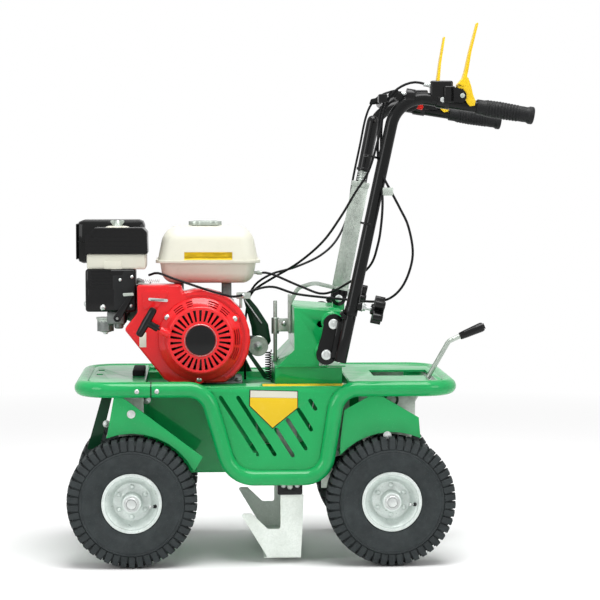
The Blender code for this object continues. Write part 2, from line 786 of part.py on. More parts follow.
def make_blade():
    half = 0.5 * BLADE_SHEET
    arm = [(0.081, 0.1035), (0.1355, 0.0135), (0.2035, 0.0135), (0.206, 0.060), (0.209, 0.138),
           (0.209, 0.1435), (0.162, 0.1435), (0.162, 0.080), (0.161, 0.072), (0.136, 0.072),
           (0.103, 0.1035)]
    floor = [(0.127, 0.012), (0.204, 0.012), (0.204, 0.018), (0.139, 0.018)]
    blade = plate("floor", floor, -BLADE_HALF, BLADE_HALF)
    pieces = []
    for sign in (-1.0, 1.0):
        pieces.append(plate("arm", arm, sign * (BLADE_HALF - half), sign * (BLADE_HALF + half)))
        pad = [(0.156, 0.1425), (0.206, 0.1425), (0.206, 0.170), (0.156, 0.170)]
        hole = circle(PIVOT_X, PIVOT_Z, PIN_RADIUS + GAP, 12)
        pieces.append(plate("pad", pad, sign * 0.1655, sign * 0.1835, [hole]))
    finish(fuse(blade, *pieces), "blade", material("blade_steel", PALE_STEEL, 0.45, 0.6),
           (PIVOT_X, 0.0, PIVOT_Z))


make_front_bow()
make_side_frame()
make_deck()
make_side_guards()
make_tower()
make_rod_guide()
make_axle_carriers()
make_fenders()
make_drive_case()
make_pulleys()
make_belt()
make_belt_guard()
make_hanger()
make_blade()


# Engine

CASE_FRONT_X = -0.075
CASE_REAR_X = 0.072
ENGINE_FOOT = TRAY_TOP + GAP
COVER_FACE_Y = -0.168
COVER_RING_RADIUS = 0.066
COVER_EDGE_RADIUS = 0.084
COOLING_SLOTS = 22
PULL_LEAN = math.radians(29.4)


IDLER_PIN_X = 0.122
IDLER_PIN_Z = 0.431
IDLER_ARM_Y = 0.0255
SPRING_X = 0.1445
SPRING_Y = 0.0285
SPRING_TURNS = 12
SPRING_PITCH = 0.0051
SPRING_WIRE = 0.001
SPRING_RADIUS = 0.0053


def make_crankcase():
    """Block with feet, power take-off cover, tank posts and an inclined finned cylinder."""
    case = box("case", (CASE_FRONT_X, SHROUD_BACK_Y + GAP, 0.360), (CASE_REAR_X, 0.092, 0.535), 0.010)
    pieces = [
        box("feet", (-0.070, -0.070, ENGINE_FOOT), (0.088, 0.070, 0.366), 0.003),
        across("cover", 0.0, CRANK_Z, 0.066, 0.080, 0.104, 16),
    ]
    for post_x in (-0.055, 0.045):
        pieces.append(box("post", (post_x, -0.050, 0.525), (post_x + 0.020, 0.050, TANK_BOTTOM), 0.002))
    barrel = box("barrel", (-0.160, -0.034, CRANK_Z - 0.036), (-0.050, 0.044, CRANK_Z + 0.036), 0.006)
    fins = [barrel, box("head", (-0.172, -0.048, CRANK_Z - 0.050), (-0.153, 0.058, CRANK_Z + 0.050), 0.004)]
    for number in range(5):
        x = -0.143 + 0.0125 * number
        fins.append(box("fin", (x, -0.048, CRANK_Z - 0.052), (x + 0.004, 0.058, CRANK_Z + 0.052)))
    pieces += [turned_about(fin, CYLINDER_TILT, 0.0, CRANK_Z) for fin in fins]
    bore = across("bore", 0.0, CRANK_Z, CRANK_RADIUS + 2.0 * GAP, -0.08, 0.12, 12)
    case = cut(fuse(case, *pieces, *idler_bracket()), bore)
    finish(case, "crankcase", cast_aluminium())


def shroud_outline():
    crank = Vector((0.0, CRANK_Z))
    corners = [(-0.040, 0.1105), (-0.129, 0.1105), (-0.128, 0.054), (-0.155, 0.020),
               (-0.074, -0.082), (-0.060, -0.090)]
    return [crank + Vector(corner) for corner in corners] + arc(crank, SHROUD_RADIUS, -61.0, 110.0, 12)


def make_fan_shroud():
    outline = shroud_outline()
    face = SHROUD_FACE_Y
    shroud = plate("shroud", outline, face, SHROUD_BACK_Y)
    soft = shroud.modifiers.new("soft_edges", "BEVEL")
    soft.width = 0.004
    soft.segments = 1
    soft.limit_method = "ANGLE"
    shroud = baked(shroud)
    hollow = plate("hollow", offset_path(outline, SHROUD_SHEET, closed=True),
                   face + SHROUD_SHEET, SHROUD_BACK_Y + 0.01)
    intake = across("intake", 0.0, CRANK_Z, 0.070, face - 0.01, face + 0.01, 16)
    shroud = cut(shroud, hollow, intake)
    finish(shroud, "fan_shroud", material("red_paint", RED, 0.3, 0.0))


def make_recoil_cover():
    thickness = 0.003
    seat = SHROUD_FACE_Y - GAP
    rise = seat - COVER_FACE_Y
    wall = [
        (COVER_RING_RADIUS + thickness, rise),
        (COVER_EDGE_RADIUS, 0.008),
        (COVER_EDGE_RADIUS, 0.0),
        (COVER_EDGE_RADIUS - thickness, 0.0),
        (COVER_EDGE_RADIUS - thickness, 0.0065),
        (COVER_RING_RADIUS, rise - 0.004),
    ]
    cover = turned("cover", wall, (0.0, seat, CRANK_Z), (0, -1, 0), 24, ring=True)
    slots = []
    for number in range(COOLING_SLOTS):
        angle = 360.0 * number / COOLING_SLOTS
        inner = arc((0.0, CRANK_Z), 0.038, angle - 2.6, angle + 2.6, 1)
        outer = arc((0.0, CRANK_Z), 0.061, angle + 2.6, angle - 2.6, 1)
        slots.append(inner + outer)
    rim_points = arc((0.0, CRANK_Z), COVER_RING_RADIUS + 0.0015, 6.0, 351.0, 23)
    face = plate("face", rim_points,
                 COVER_FACE_Y + 0.0005, COVER_FACE_Y + 0.0035, slots)
    hub = across("hub", 0.0, CRANK_Z, 0.033, COVER_FACE_Y - 0.002, COVER_FACE_Y + 0.002, 12)
    pull = Vector((-math.cos(PULL_LEAN), 0.0, math.sin(PULL_LEAN)))
    mouth = Vector((-0.082, -0.185, 0.4814))
    guide = rod("guide", mouth - pull * 0.022, mouth, 0.008, 10)
    arm = rod("arm", mouth - pull * 0.015 + Vector((0.0, 0.002, 0.0)),
              mouth - pull * 0.015 + Vector((0.0, 0.035, 0.0)), 0.0085, 8)
    pieces = [face, hub, guide, arm]
    for angle in (146.0, 31.0, -92.0):
        x = 0.083 * math.cos(math.radians(angle))
        z = CRANK_Z + 0.083 * math.sin(math.radians(angle))
        pieces.append(across("ear", x, z, 0.010, seat - 0.0005, seat - 0.0075, 8))
    finish(fuse(cover, *pieces), "recoil_cover", material("red_paint", RED, 0.3, 0.0))

    core = Vector((-0.109, -0.185, mouth.z + pull.z / pull.x * (-0.109 - mouth.x)))
    across_grip = Vector((math.sin(PULL_LEAN), 0.0, math.cos(PULL_LEAN)))
    grip = rod("grip", core - across_grip * 0.032, core + across_grip * 0.032, 0.0078, 12)
    stem = rod("stem", mouth + pull * GAP, core, 0.0045, 12)
    finish(fuse(grip, stem), "starter_grip", black_plastic(), tuple(core))


def make_flywheel():
    """Flywheel with its fan ring, and the crankshaft that carries the engine pulley."""
    near = -0.132
    profile = [(0.0, 0.0), (0.026, 0.0), (0.030, -0.012), (0.060, -0.012), (0.063, -0.016),
               (0.063, -0.045), (0.022, -0.052), (CRANK_RADIUS, -0.060),
               (CRANK_RADIUS, near - 0.156), (0.0, near - 0.156)]
    wheel = turned("wheel", profile, (0.0, near, CRANK_Z), (0, -1, 0), 16)
    finish(wheel, "flywheel", machined_steel(), (0.0, 0.0, CRANK_Z))


def make_tank():
    lower = box("lower", (-0.078, -0.092, TANK_BOTTOM + GAP), (0.110, 0.062, TANK_FLANGE_Z), 0.014, 2)
    flange = box("flange", (-0.091, -0.105, TANK_FLANGE_Z - 0.003),
                 (0.123, 0.075, TANK_FLANGE_Z + 0.003), 0.0025)
    upper = box("upper", (-0.086, -0.100, TANK_FLANGE_Z - 0.030), (0.118, 0.070, TANK_TOP), 0.028, 2)
    trim = box("trim", (-0.2, -0.2, TANK_FLANGE_Z - 0.050), (0.2, 0.2, TANK_FLANGE_Z))
    upper = cut(upper, trim)
    neck = rod("neck", (0.0105, -0.015, 0.670), (0.0105, -0.015, TANK_TOP + 0.002), 0.026, 16)
    finish(fuse(lower, flange, upper, neck), "fuel_tank", material("tank_plastic", OFF_WHITE, 0.4, 0.0))
    cap_profile = [(0.0, 0.0080), (0.028, 0.0080), (0.034, 0.0050), (0.035, -0.0012),
                   (0.0265, -0.0012), (0.0265, 0.0), (0.0, 0.0)]
    cap = turned("cap", cap_profile, (0.0105, -0.015, TANK_TOP + 0.002 + GAP), (0, 0, 1), 16)
    finish(cap, "fuel_cap", zinc_plate(), (0.0105, -0.015, TANK_TOP))


def make_air_cleaner():
    cover_outline = [(-0.235, 0.6323), (-0.108, 0.6323), (-0.108, 0.676), (-0.117, 0.685),
                     (-0.216, 0.685), (-0.235, 0.668)]
    cover = plate("cover", cover_outline, -0.120, -0.010)
    soft = cover.modifiers.new("soft_edges", "BEVEL")
    soft.width = 0.005
    soft.segments = 1
    soft.limit_method = "ANGLE"
    cover = baked(cover)
    nut = rod("nut", (-0.171, -0.065, 0.680), (-0.171, -0.065, 0.694), 0.009, 12)
    wings = box("wings", (-0.189, -0.0675, 0.686), (-0.153, -0.0625, 0.700), 0.002)
    finish(fuse(cover, nut, wings), "air_cleaner_cover", black_plastic())
    band = box("band", (-0.231, -0.116, 0.600), (-0.112, -0.014, 0.632), 0.003)
    housing = box("housing", (-0.235, -0.120, 0.513), (-0.132, -0.0525, 0.610), 0.006, 2)
    finish(fuse(band, housing), "air_cleaner_body", black_plastic())


def make_carburettor():
    body = box("body", (-0.192, -0.100, 0.486), (-0.156, -0.0483, 0.5127), 0.002)
    bowl = rod("bowl", (-0.196, -0.078, 0.471), (-0.196, -0.078, 0.498), 0.0175, 14)
    cup = rod("cup", (-0.168, -0.086, 0.480), (-0.168, -0.086, 0.495), 0.010, 10)
    pin = across("pin", -0.170, 0.500, 0.003, -0.1265, -0.095, 8)
    finish(fuse(body, bowl, cup, pin), "carburettor", cast_aluminium())
    pivot = Vector((-0.170, 0.500))
    tip = Vector((-0.141, 0.547))
    heading = math.degrees(math.atan2(tip.y - pivot.y, tip.x - pivot.x))
    outline = (arc(pivot, 0.008, heading + 90.0, heading + 270.0, 6)
               + arc(tip, 0.005, heading - 90.0, heading + 90.0, 4))
    lever = plate("lever", outline, -0.1245, -0.1212, [circle(pivot.x, pivot.y, 0.0036, 8)])
    finish(lever, "choke_lever", black_plastic(), (pivot.x, -0.1228, pivot.y))


def make_muffler():
    can = box("can", (-0.259, 0.012, 0.607), (-0.118, 0.118, 0.698), 0.012, 2)
    flange = turned_about(box("flange", (-0.1775, 0.018, CRANK_Z - 0.018),
                              (-0.172 - GAP, 0.058, CRANK_Z + 0.030)), CYLINDER_TILT, 0.0, CRANK_Z)
    pipe = tube("pipe", filleted([(-0.158, 0.038, 0.536), (-0.197, 0.038, 0.556), (-0.197, 0.038, 0.615)],
                                 [0.0, 0.025, 0.0]), 0.013, 12)
    finish(fuse(can, flange, pipe), "muffler", black_paint())


def idler_bracket():
    """Bracket plate on the crankcase's rear face, with the idler arm's pin."""
    face = IDLER_ARM_Y - GAP
    foot = box("foot", (CASE_REAR_X - 0.002, -0.010, 0.412), (CASE_REAR_X + 0.004, face, 0.455))
    outline = [(CASE_REAR_X + 0.002, 0.413)] + arc((IDLER_PIN_X, IDLER_PIN_Z), 0.020, -95.0, 85.0, 10)
    outline += [(CASE_REAR_X + 0.002, 0.454)]
    bracket = plate("bracket", outline, face - 0.005, face - 0.0002)
    pin = across("pin", IDLER_PIN_X, IDLER_PIN_Z, 0.005, face - 0.004, IDLER_ARM_Y + 0.011, 12)
    return foot, bracket, pin


def make_idler():
    top = Vector((0.099, 0.520))
    pin_place = Vector((IDLER_PIN_X, IDLER_PIN_Z))
    hook = Vector((SPRING_X, 0.4365))
    bar_heading = math.degrees(math.atan2(top.y - pin_place.y, top.x - pin_place.x))
    bar = plate("bar", arc(top, 0.0115, bar_heading - 90.0, bar_heading + 90.0, 6)
                + arc(pin_place, 0.0125, bar_heading + 90.0, bar_heading + 270.0, 6),
                IDLER_ARM_Y, IDLER_ARM_Y + 0.006)
    tail_heading = math.degrees(math.atan2(hook.y - pin_place.y, hook.x - pin_place.x))
    tail = plate("tail", arc(hook, 0.0055, tail_heading - 90.0, tail_heading + 90.0, 4)
                 + arc(pin_place, 0.0085, tail_heading + 90.0, tail_heading + 270.0, 4),
                 IDLER_ARM_Y + 0.0005, IDLER_ARM_Y + 0.0055)
    bore = across("bore", IDLER_PIN_X, IDLER_PIN_Z, 0.005 + GAP, IDLER_ARM_Y - 0.01, IDLER_ARM_Y + 0.02, 12)
    finish(cut(fuse(bar, tail), bore), "idler_arm",
           material("dark_green_paint", DARK_GREEN, 0.4, 0.0), (IDLER_PIN_X, IDLER_ARM_Y, IDLER_PIN_Z))


def helix(centre_x, centre_y, bottom, radius, pitch, turns, foot, top_run):
    """Spring centreline with a straight run on its axis side at each end."""
    points_per_turn = 8
    count = turns * points_per_turn
    start = Vector((centre_x + radius, centre_y, bottom - foot))
    path = [start]
    for number in range(count + 1):
        angle = 2.0 * math.pi * number / points_per_turn
        path.append(Vector((centre_x + radius * math.cos(angle), centre_y + radius * math.sin(angle),
                            bottom + pitch * number / points_per_turn)))
    last = path[-1]
    path.append(Vector((last.x, last.y, last.z + top_run)))
    return path


def make_idler_spring():
    bottom = TRAY_TOP + GAP + 0.004
    path = helix(SPRING_X, SPRING_Y, bottom, SPRING_RADIUS, SPRING_PITCH, SPRING_TURNS, 0.004, 0.004)
    finish(tube("spring", path, SPRING_WIRE, 6), "idler_spring", machined_steel())


make_crankcase()
make_fan_shroud()
make_recoil_cover()
make_flywheel()
make_tank()
make_air_cleaner()
make_carburettor()
make_muffler()
make_idler()
make_idler_spring()


# Wheels

def tyre_profile():
    """Outer side from the far bead over the tread to the near bead, as (radius, offset)."""
    half = 0.5 * TYRE_WIDTH
    crown = 0.5 * TYRE_OD
    side = [(BEAD_RADIUS, half - 0.012), (BEAD_RADIUS + 0.020, half - 0.001),
            (crown - 0.022, half), (crown, half - 0.016)]
    far = [(radius, -offset) for radius, offset in reversed(side)]
    return side + far


def make_tyre(name, axle_x, side):
    """Pneumatic tyre whose shoulders carry alternate lugs."""
    centre = Vector((axle_x, side * TRACK_HALF, 0.5 * TYRE_OD))
    steps = 2 * TYRE_LUGS
    tyre = turned(name, tyre_profile(), centre, (0, 1, 0), steps, ring=True)
    shoulder = 0.5 * TYRE_OD - 0.0235
    for vertex in tyre.data.vertices:
        radial = Vector((vertex.co.x - centre.x, 0.0, vertex.co.z - centre.z))
        if radial.length < shoulder:
            continue
        step = round(math.atan2(radial.z, radial.x) / (2.0 * math.pi) * steps)
        if step % 2:
            vertex.co -= radial.normalized() * LUG_DEPTH
    finish(tyre, name, material("rubber", RUBBER, 0.8, 0.0), tuple(centre), 25.0)


def make_rim(name, axle_x, side):
    """Dished disc with a lip, a well and a hub on the axle."""
    lip = BEAD_RADIUS - GAP - 0.0002
    bore = AXLE_RADIUS + GAP
    profile = [
        (lip, 0.034), (lip, -0.034), (lip - 0.005, -0.034), (lip - 0.007, -0.010),
        (HUB_RADIUS, -0.006), (HUB_RADIUS - 0.003, -0.040), (bore, -0.040), (bore, 0.042),
        (HUB_RADIUS - 0.003, 0.042), (HUB_RADIUS, 0.008), (0.043, 0.000), (lip - 0.005, 0.034),
    ]
    rim = turned(name, profile, (axle_x, side * TRACK_HALF, 0.5 * TYRE_OD), (0, side, 0), 14, ring=True)
    finish(rim, name, material("rim_grey", RIM_GREY, 0.4, 0.7),
           (axle_x, side * TRACK_HALF, 0.5 * TYRE_OD))


def make_wheels():
    for end, axle_x in (("front", FRONT_AXLE_X), ("rear", REAR_AXLE_X)):
        axle = across("axle", axle_x, 0.5 * TYRE_OD, AXLE_RADIUS, -AXLE_HALF, AXLE_HALF)
        finish(axle, f"{end}_axle", machined_steel(), (axle_x, 0.0, 0.5 * TYRE_OD))
        for hand, side in (("left", -1.0), ("right", 1.0)):
            make_tyre(f"{end}_tyre_{hand}", axle_x, side)
            make_rim(f"{end}_rim_{hand}", axle_x, side)


# Handlebar, its mounts and everything on it

HINGE_FORWARD = 0.0169
KNUCKLE_RADIUS = 0.004
HINGE_PIN_RADIUS = 0.002
CLUTCH_PIVOT_X = 0.5226
CLUTCH_PIVOT_Z = 0.951
CLUTCH_LENGTH = 0.150
CLUTCH_PIN_RADIUS = 0.003
THROTTLE_X = 0.420
THROTTLE_Z = 0.938


def tilted(obj, angle=HANDLE_TILT):
    """Lean a piece that was built upright over the seam back along the handlebar."""
    return turned_about(obj, angle, SEAM_X, SEAM_Z)


def handle_side(side):
    """Centreline of one handlebar tube, from just above the seam to the end of its grip."""
    start = Vector((SEAM_X + GAP * math.sin(HANDLE_TILT), SEAM_Z + GAP * math.cos(HANDLE_TILT)))
    end_x = GRIP_END_X - 0.004
    end_z = CORNER_Z - (end_x - CORNER_X) * GRIP_SLOPE
    y = side * HANDLE_HALF
    return filleted([(start.x, y, start.y), (CORNER_X, y, CORNER_Z), (end_x, y, end_z)],
                    [0.0, CORNER_RADIUS, 0.0], 6)


def knuckle(side, offset_start, offset_end, above):
    """Hinge knuckle with its web, ahead of the tube; it belongs above or below the seam."""
    x = SEAM_X - HINGE_FORWARD
    first = side * (HANDLE_HALF + offset_start)
    last = side * (HANDLE_HALF + offset_end)
    eye = across("eye", x, SEAM_Z, KNUCKLE_RADIUS, first, last, 8)
    low_y, high_y = sorted((first, last))
    low_z = SEAM_Z + GAP if above else SEAM_Z - 0.009
    high_z = SEAM_Z + 0.009 if above else SEAM_Z - GAP
    reach = SEAM_X - (0.006 if above else 0.010)
    web = box("web", (x, low_y + 0.0002, low_z), (reach, high_y - 0.0002, high_z))
    return tilted(eye), tilted(web)


def make_handle_mount(name, side):
    plate_y = 0.205
    half = 0.0025
    upper = (UPPER_TUBE_X, UPPER_TUBE_Z)
    lower = (LOWER_TUBE_X, LOWER_TUBE_Z)
    outline = arc(lower, 0.022, 187.0, 300.0, 5) + [(0.286, 0.420), (0.303, 0.500)]
    outline += arc(upper, 0.022, 60.0, 167.0, 5)
    mount = plate("mount", outline, side * (plate_y - half), side * (plate_y + half))
    low_y, high_y = sorted((side * 0.2065, side * (HANDLE_HALF + HANDLE_TUBE_RADIUS)))
    stub = tilted(box("stub", (SEAM_X - HANDLE_TUBE_RADIUS, low_y, SEAM_Z - 0.096),
                      (SEAM_X + HANDLE_TUBE_RADIUS, high_y, SEAM_Z), 0.0005))
    pieces = [stub]
    for x, z in (upper, lower):
        pieces.append(across("buffer", x, z, 0.016, side * (CROSS_TUBE_HALF + GAP), side * plate_y, 10))
        pieces.append(across("bolt", x, z, 0.009, side * plate_y, side * (plate_y + 0.007), 6))
    for start, end in ((-0.012, -0.0043), (0.0043, 0.012)):
        pieces += knuckle(side, start, end, above=False)
    pin = across("pin", SEAM_X - HINGE_FORWARD, SEAM_Z, HINGE_PIN_RADIUS,
                 side * (HANDLE_HALF - 0.010), side * (HANDLE_HALF + 0.010), 8)
    pieces.append(tilted(pin))
    finish(fuse(mount, *pieces), name, black_paint())


def knob_axis_point(distance, side):
    """A point behind the tube on the clamp stud's axis, above the seam."""
    height = 0.022
    base = Vector((SEAM_X, side * HANDLE_HALF, SEAM_Z))
    along = Vector((math.sin(HANDLE_TILT), 0.0, math.cos(HANDLE_TILT)))
    back = Vector((math.cos(HANDLE_TILT), 0.0, -math.sin(HANDLE_TILT)))
    return base + along * height + back * distance


def make_handlebar():
    sides = []
    for side in (-1.0, 1.0):
        path = handle_side(side)
        bar = tube("bar", path, HANDLE_TUBE_RADIUS, 10)
        middle = path[len(path) // 2]
        corner = Vector((CORNER_X, middle.y, CORNER_Z))
        cross_place = middle + (corner - middle).normalized() * (HANDLE_TUBE_RADIUS + 0.0055)
        eye, web = knuckle(side, -0.004, 0.004, above=True)
        ear = rod("ear", knob_axis_point(0.008, side), knob_axis_point(0.019, side), 0.009, 12)
        low_y, high_y = sorted((side * (HANDLE_HALF - 0.013), side * (HANDLE_HALF + 0.013)))
        perch = box("perch", (0.460, low_y, 0.9355), (0.512, high_y, 0.981), 0.003)
        ear_outline = [(0.500, 0.935), (0.528, 0.934), (0.532, 0.945), (0.531, 0.957),
                       (0.520, 0.966), (0.500, 0.978)]
        ear_plate = plate("ear_plate", ear_outline, side * (HANDLE_HALF - 0.010),
                          side * (HANDLE_HALF + 0.010))
        pin = across("pin", CLUTCH_PIVOT_X, CLUTCH_PIVOT_Z, CLUTCH_PIN_RADIUS,
                     side * (HANDLE_HALF - 0.020), side * (HANDLE_HALF + 0.020), 8)
        pieces = [eye, web, ear, perch, ear_plate, pin]
        if side < 0.0:
            housing = across("housing", THROTTLE_X, THROTTLE_Z, 0.019, -0.210, -0.190, 12)
            throttle_pin = across("pin", THROTTLE_X, THROTTLE_Z, 0.003, -0.195, -0.184, 10)
            pieces += [housing, throttle_pin]
        bar = fuse(bar, *pieces)
        pin_bore = tilted(across("bore", SEAM_X - HINGE_FORWARD, SEAM_Z, HINGE_PIN_RADIUS + GAP,
                                 side * (HANDLE_HALF - 0.006), side * (HANDLE_HALF + 0.006), 8))
        stud_bore = rod("bore", knob_axis_point(0.0055, side), knob_axis_point(0.03, side), 0.0047, 8)
        sides.append(cut(bar, pin_bore, stud_bore))
    crossbar = rod("crossbar", (cross_place.x, -HANDLE_HALF - 0.003, cross_place.z),
                   (cross_place.x, HANDLE_HALF + 0.003, cross_place.z), 0.008, 10)
    finish(fuse(sides[0], sides[1], crossbar), "handlebar", black_paint(),
           (SEAM_X - HINGE_FORWARD * math.cos(HANDLE_TILT), 0.0,
            SEAM_Z + HINGE_FORWARD * math.sin(HANDLE_TILT)))


def make_grip(name, side):
    """Ribbed rubber grip with a flange near its closed end, whose upper edge is at GRIP_END_X."""
    path = handle_side(side)
    tip = path[-1]
    along = (path[-1] - path[-2]).normalized()
    length = (GRIP_END_X - GRIP_START_X) / along.x
    base = tip + along * (0.004 / along.x - length)
    grip_sides = 12
    bore = (HANDLE_TUBE_RADIUS + GAP) / math.cos(math.pi / grip_sides)
    end_radius = 0.0150
    rise = length - end_radius * abs(along.z) / along.x
    profile = [(0.0, rise), (end_radius, rise), (0.0178, rise - 0.003), (0.0178, rise - 0.008),
               (0.0165, rise - 0.011)]
    ribs = 4
    for rib in range(ribs):
        level = (rise - 0.018) * (ribs - rib) / ribs
        radius = 0.0148 + 0.0012 * (ribs - rib) / ribs
        profile += [(radius, level), (radius - 0.0008, level - 0.006)]
    profile += [(0.0148, 0.0), (bore, 0.0), (bore, length - 0.0035), (0.0, length - 0.0035)]
    grip = turned("grip", profile, base, along, grip_sides)
    finish(grip, name, material("grip_rubber", BLACK, 0.7, 0.0), tuple(base))


def tapered_bar(name, z_low, z_high, x, y, half_x, half_y_low, half_y_high):
    """Upright flat bar whose width changes from its foot to its top."""
    shape = bmesh.new()
    bmesh.ops.create_cube(shape, size=2.0)
    for vertex in shape.verts:
        half_y = half_y_high if vertex.co.z > 0.0 else half_y_low
        level = z_high if vertex.co.z > 0.0 else z_low
        vertex.co = Vector((x + vertex.co.x * half_x, y + vertex.co.y * half_y, level))
    return object_from_bmesh(name, shape)


def make_clutch_lever(name, side, lean):
    y = side * HANDLE_HALF
    x = CLUTCH_PIVOT_X
    z = CLUTCH_PIVOT_Z
    bridge_low = 0.018
    leaf = tapered_bar("leaf", z + bridge_low, z + CLUTCH_LENGTH, x, y, 0.0018, 0.014, 0.011)
    bridge = box("bridge", (x - 0.003, y - 0.018, z + bridge_low - 0.0005),
                 (x + 0.003, y + 0.018, z + bridge_low + 0.003))
    pieces = [bridge]
    for hand in (-1.0, 1.0):
        outline = arc((x, z), 0.007, 180.0, 360.0, 4) + [(x + 0.0028, z + bridge_low + 0.002),
                                                         (x - 0.0028, z + bridge_low + 0.002)]
        cheek = plate("cheek", outline, y + hand * 0.0150, y + hand * 0.0178,
                      [circle(x, z, CLUTCH_PIN_RADIUS + 2.0 * GAP, 8)])
        pieces.append(cheek)
    lever = turned_about(fuse(leaf, *pieces), lean, x, z)
    finish(lever, name, material("yellow_plastic", YELLOW, 0.4, 0.0), (x, y, z))


def make_throttle_lever():
    hub = [Vector((THROTTLE_X, THROTTLE_Z)), Vector((0.4445, 0.9305))]
    heading = math.degrees(math.atan2(hub[1].y - hub[0].y, hub[1].x - hub[0].x))
    outline = (arc(hub[0], 0.008, heading + 90.0, heading + 270.0, 6)
               + arc(hub[1], 0.006, heading - 90.0, heading + 90.0, 6))
    lever = plate("lever", outline, -0.1897, -0.1857, [circle(THROTTLE_X, THROTTLE_Z, 0.0033, 10)])
    finish(lever, "throttle_lever", material("red_plastic", RED, 0.4, 0.0),
           (THROTTLE_X, -0.1877, THROTTLE_Z))


def make_knobs():
    """Five-lobed clamp knobs, each with its stud and washer."""
    side = -1.0
    lobes = [(0.0265 + 0.0035 * math.cos(5.0 * angle)) * Vector((math.cos(angle), math.sin(angle)))
             for angle in [2.0 * math.pi * step / 20 for step in range(20)]]
    star = extruded("star", lobes, 0.022)
    back = (knob_axis_point(1.0, side) - knob_axis_point(0.0, side)).normalized()
    turn = back.to_track_quat("Z", "Y").to_matrix().to_4x4()
    moved(star, Matrix.Translation(knob_axis_point(0.053, side)) @ turn)
    stud = rod("stud", knob_axis_point(0.0065, side), knob_axis_point(0.050, side), 0.004, 10)
    washer = rod("washer", knob_axis_point(0.0193, side), knob_axis_point(0.0220, side), 0.010, 12)
    collar = rod("collar", knob_axis_point(0.038, side), knob_axis_point(0.045, side), 0.011, 12)
    knob = fuse(star, stud, washer, collar)
    other = mirrored(knob, "other")
    finish(knob, "knob_left", black_plastic(), tuple(knob_axis_point(0.053, -1.0)))
    finish(other, "knob_right", black_plastic(), tuple(knob_axis_point(0.053, 1.0)))


# Depth lever

LEVER_TILT = math.radians(11.0)
LEVER_RANGE_TOP = 0.243
LEVER_SPRING_BOTTOM = 0.2505
LEVER_SPRING_TOP = 0.2735


def lever_leaned(obj):
    return turned_about(obj, LEVER_TILT, LEVER_PIVOT_X, LEVER_PIVOT_Z)


def lever_point(height):
    return (LEVER_PIVOT_X + height * math.sin(LEVER_TILT), 0.0,
            LEVER_PIVOT_Z + height * math.cos(LEVER_TILT))


def make_depth_lever():
    """Channel section that straddles its bracket, with the rod that carries the release sleeve."""
    x = LEVER_PIVOT_X
    z = LEVER_PIVOT_Z
    half = 0.0165
    wall = 0.0025
    inner = LEVER_BRACKET_HALF + 0.0006
    outer = inner + wall
    channel_plan = [(x - half, -outer), (x + half, -outer), (x + half, outer), (x - half, outer),
                    (x - half, inner), (x + half - wall, inner), (x + half - wall, -inner),
                    (x - half, -inner)]
    channel = sheet("channel", channel_plan, z + 0.019, z + LEVER_RANGE_TOP)
    pieces = []
    for side in (-1.0, 1.0):
        outline = arc((x, z), 0.0155, 180.0, 360.0, 6) + [(x + 0.0162, z + 0.024), (x - 0.0162, z + 0.024)]
        pieces.append(plate("cheek", outline, side * (inner + 0.0002), side * (outer - 0.0002),
                            [circle(x, z, 0.0046, 8)]))
    pieces.append(box("cap", (x - 0.018, -0.0165, z + LEVER_RANGE_TOP - 0.004),
                      (x + 0.018, 0.0165, z + LEVER_SPRING_BOTTOM - GAP)))
    pieces.append(rod("core", (x, 0.0, z + LEVER_RANGE_TOP), (x, 0.0, z + 0.370), 0.0065, 12))
    lever = lever_leaned(fuse(channel, *pieces))
    finish(lever, "depth_lever", zinc_plate(), (x, 0.0, z))

    sleeve_profile = [(0.0, 0.392), (0.007, 0.390), (0.0115, 0.383), (0.0125, 0.374),
                      (0.0125, LEVER_SPRING_TOP + GAP), (0.0068, LEVER_SPRING_TOP + GAP),
                      (0.0068, 0.383), (0.0, 0.383)]
    sleeve = turned("sleeve", sleeve_profile, (x, 0.0, z), (0, 0, 1), 16)
    finish(lever_leaned(sleeve), "lever_sleeve", black_plastic(), lever_point(0.33))

    wire = 0.0011
    turns = 4
    run = LEVER_SPRING_TOP - LEVER_SPRING_BOTTOM - 2.0 * wire
    path = helix(x, 0.0, z + LEVER_SPRING_BOTTOM + wire, 0.0090, run / turns, turns, 0.0, 0.0)
    spring = tube("spring", path[1:-1], wire, 6)
    finish(lever_leaned(spring), "lever_spring", machined_steel(), lever_point(0.25))


def make_gear_lever():
    y = -0.100
    path = filleted([(0.425, y, 0.300), (0.474, y, 0.374), (0.488, y, 0.432), (0.545, y, 0.4575)],
                    [0.0, 0.030, 0.022, 0.0], 3)
    lever = tube("lever", path, 0.005, 8)
    hub = rod("hub", (0.4085, y, 0.300), (0.4355, y, 0.300), 0.009, 10)
    grip = rod("grip", (0.538, y, 0.4543), (0.589, y, 0.484), 0.0072, 10, 0.0100)
    bore = rod("bore", (0.40, y, 0.300), (0.45, y, 0.300), 0.0046, 8)
    finish(cut(fuse(lever, hub, grip), bore), "gear_lever", zinc_plate(), (0.4085, y, 0.300))


def smooth_route(points, step):
    """Read evenly spaced points from a smooth curve through a route's own points."""
    knots = [Vector(point) for point in points]
    knots = [2.0 * knots[0] - knots[1]] + knots + [2.0 * knots[-1] - knots[-2]]
    route = [knots[1]]
    for before, first, last, after in zip(knots, knots[1:], knots[2:], knots[3:]):
        pieces = max(1, round((last - first).length / step))
        for piece in range(1, pieces + 1):
            t = piece / pieces
            route.append(0.5 * (2.0 * first + (last - before) * t
                                + (2.0 * before - 5.0 * first + 4.0 * last - after) * t ** 2
                                + (3.0 * first - before - 3.0 * last + after) * t ** 3))
    return route


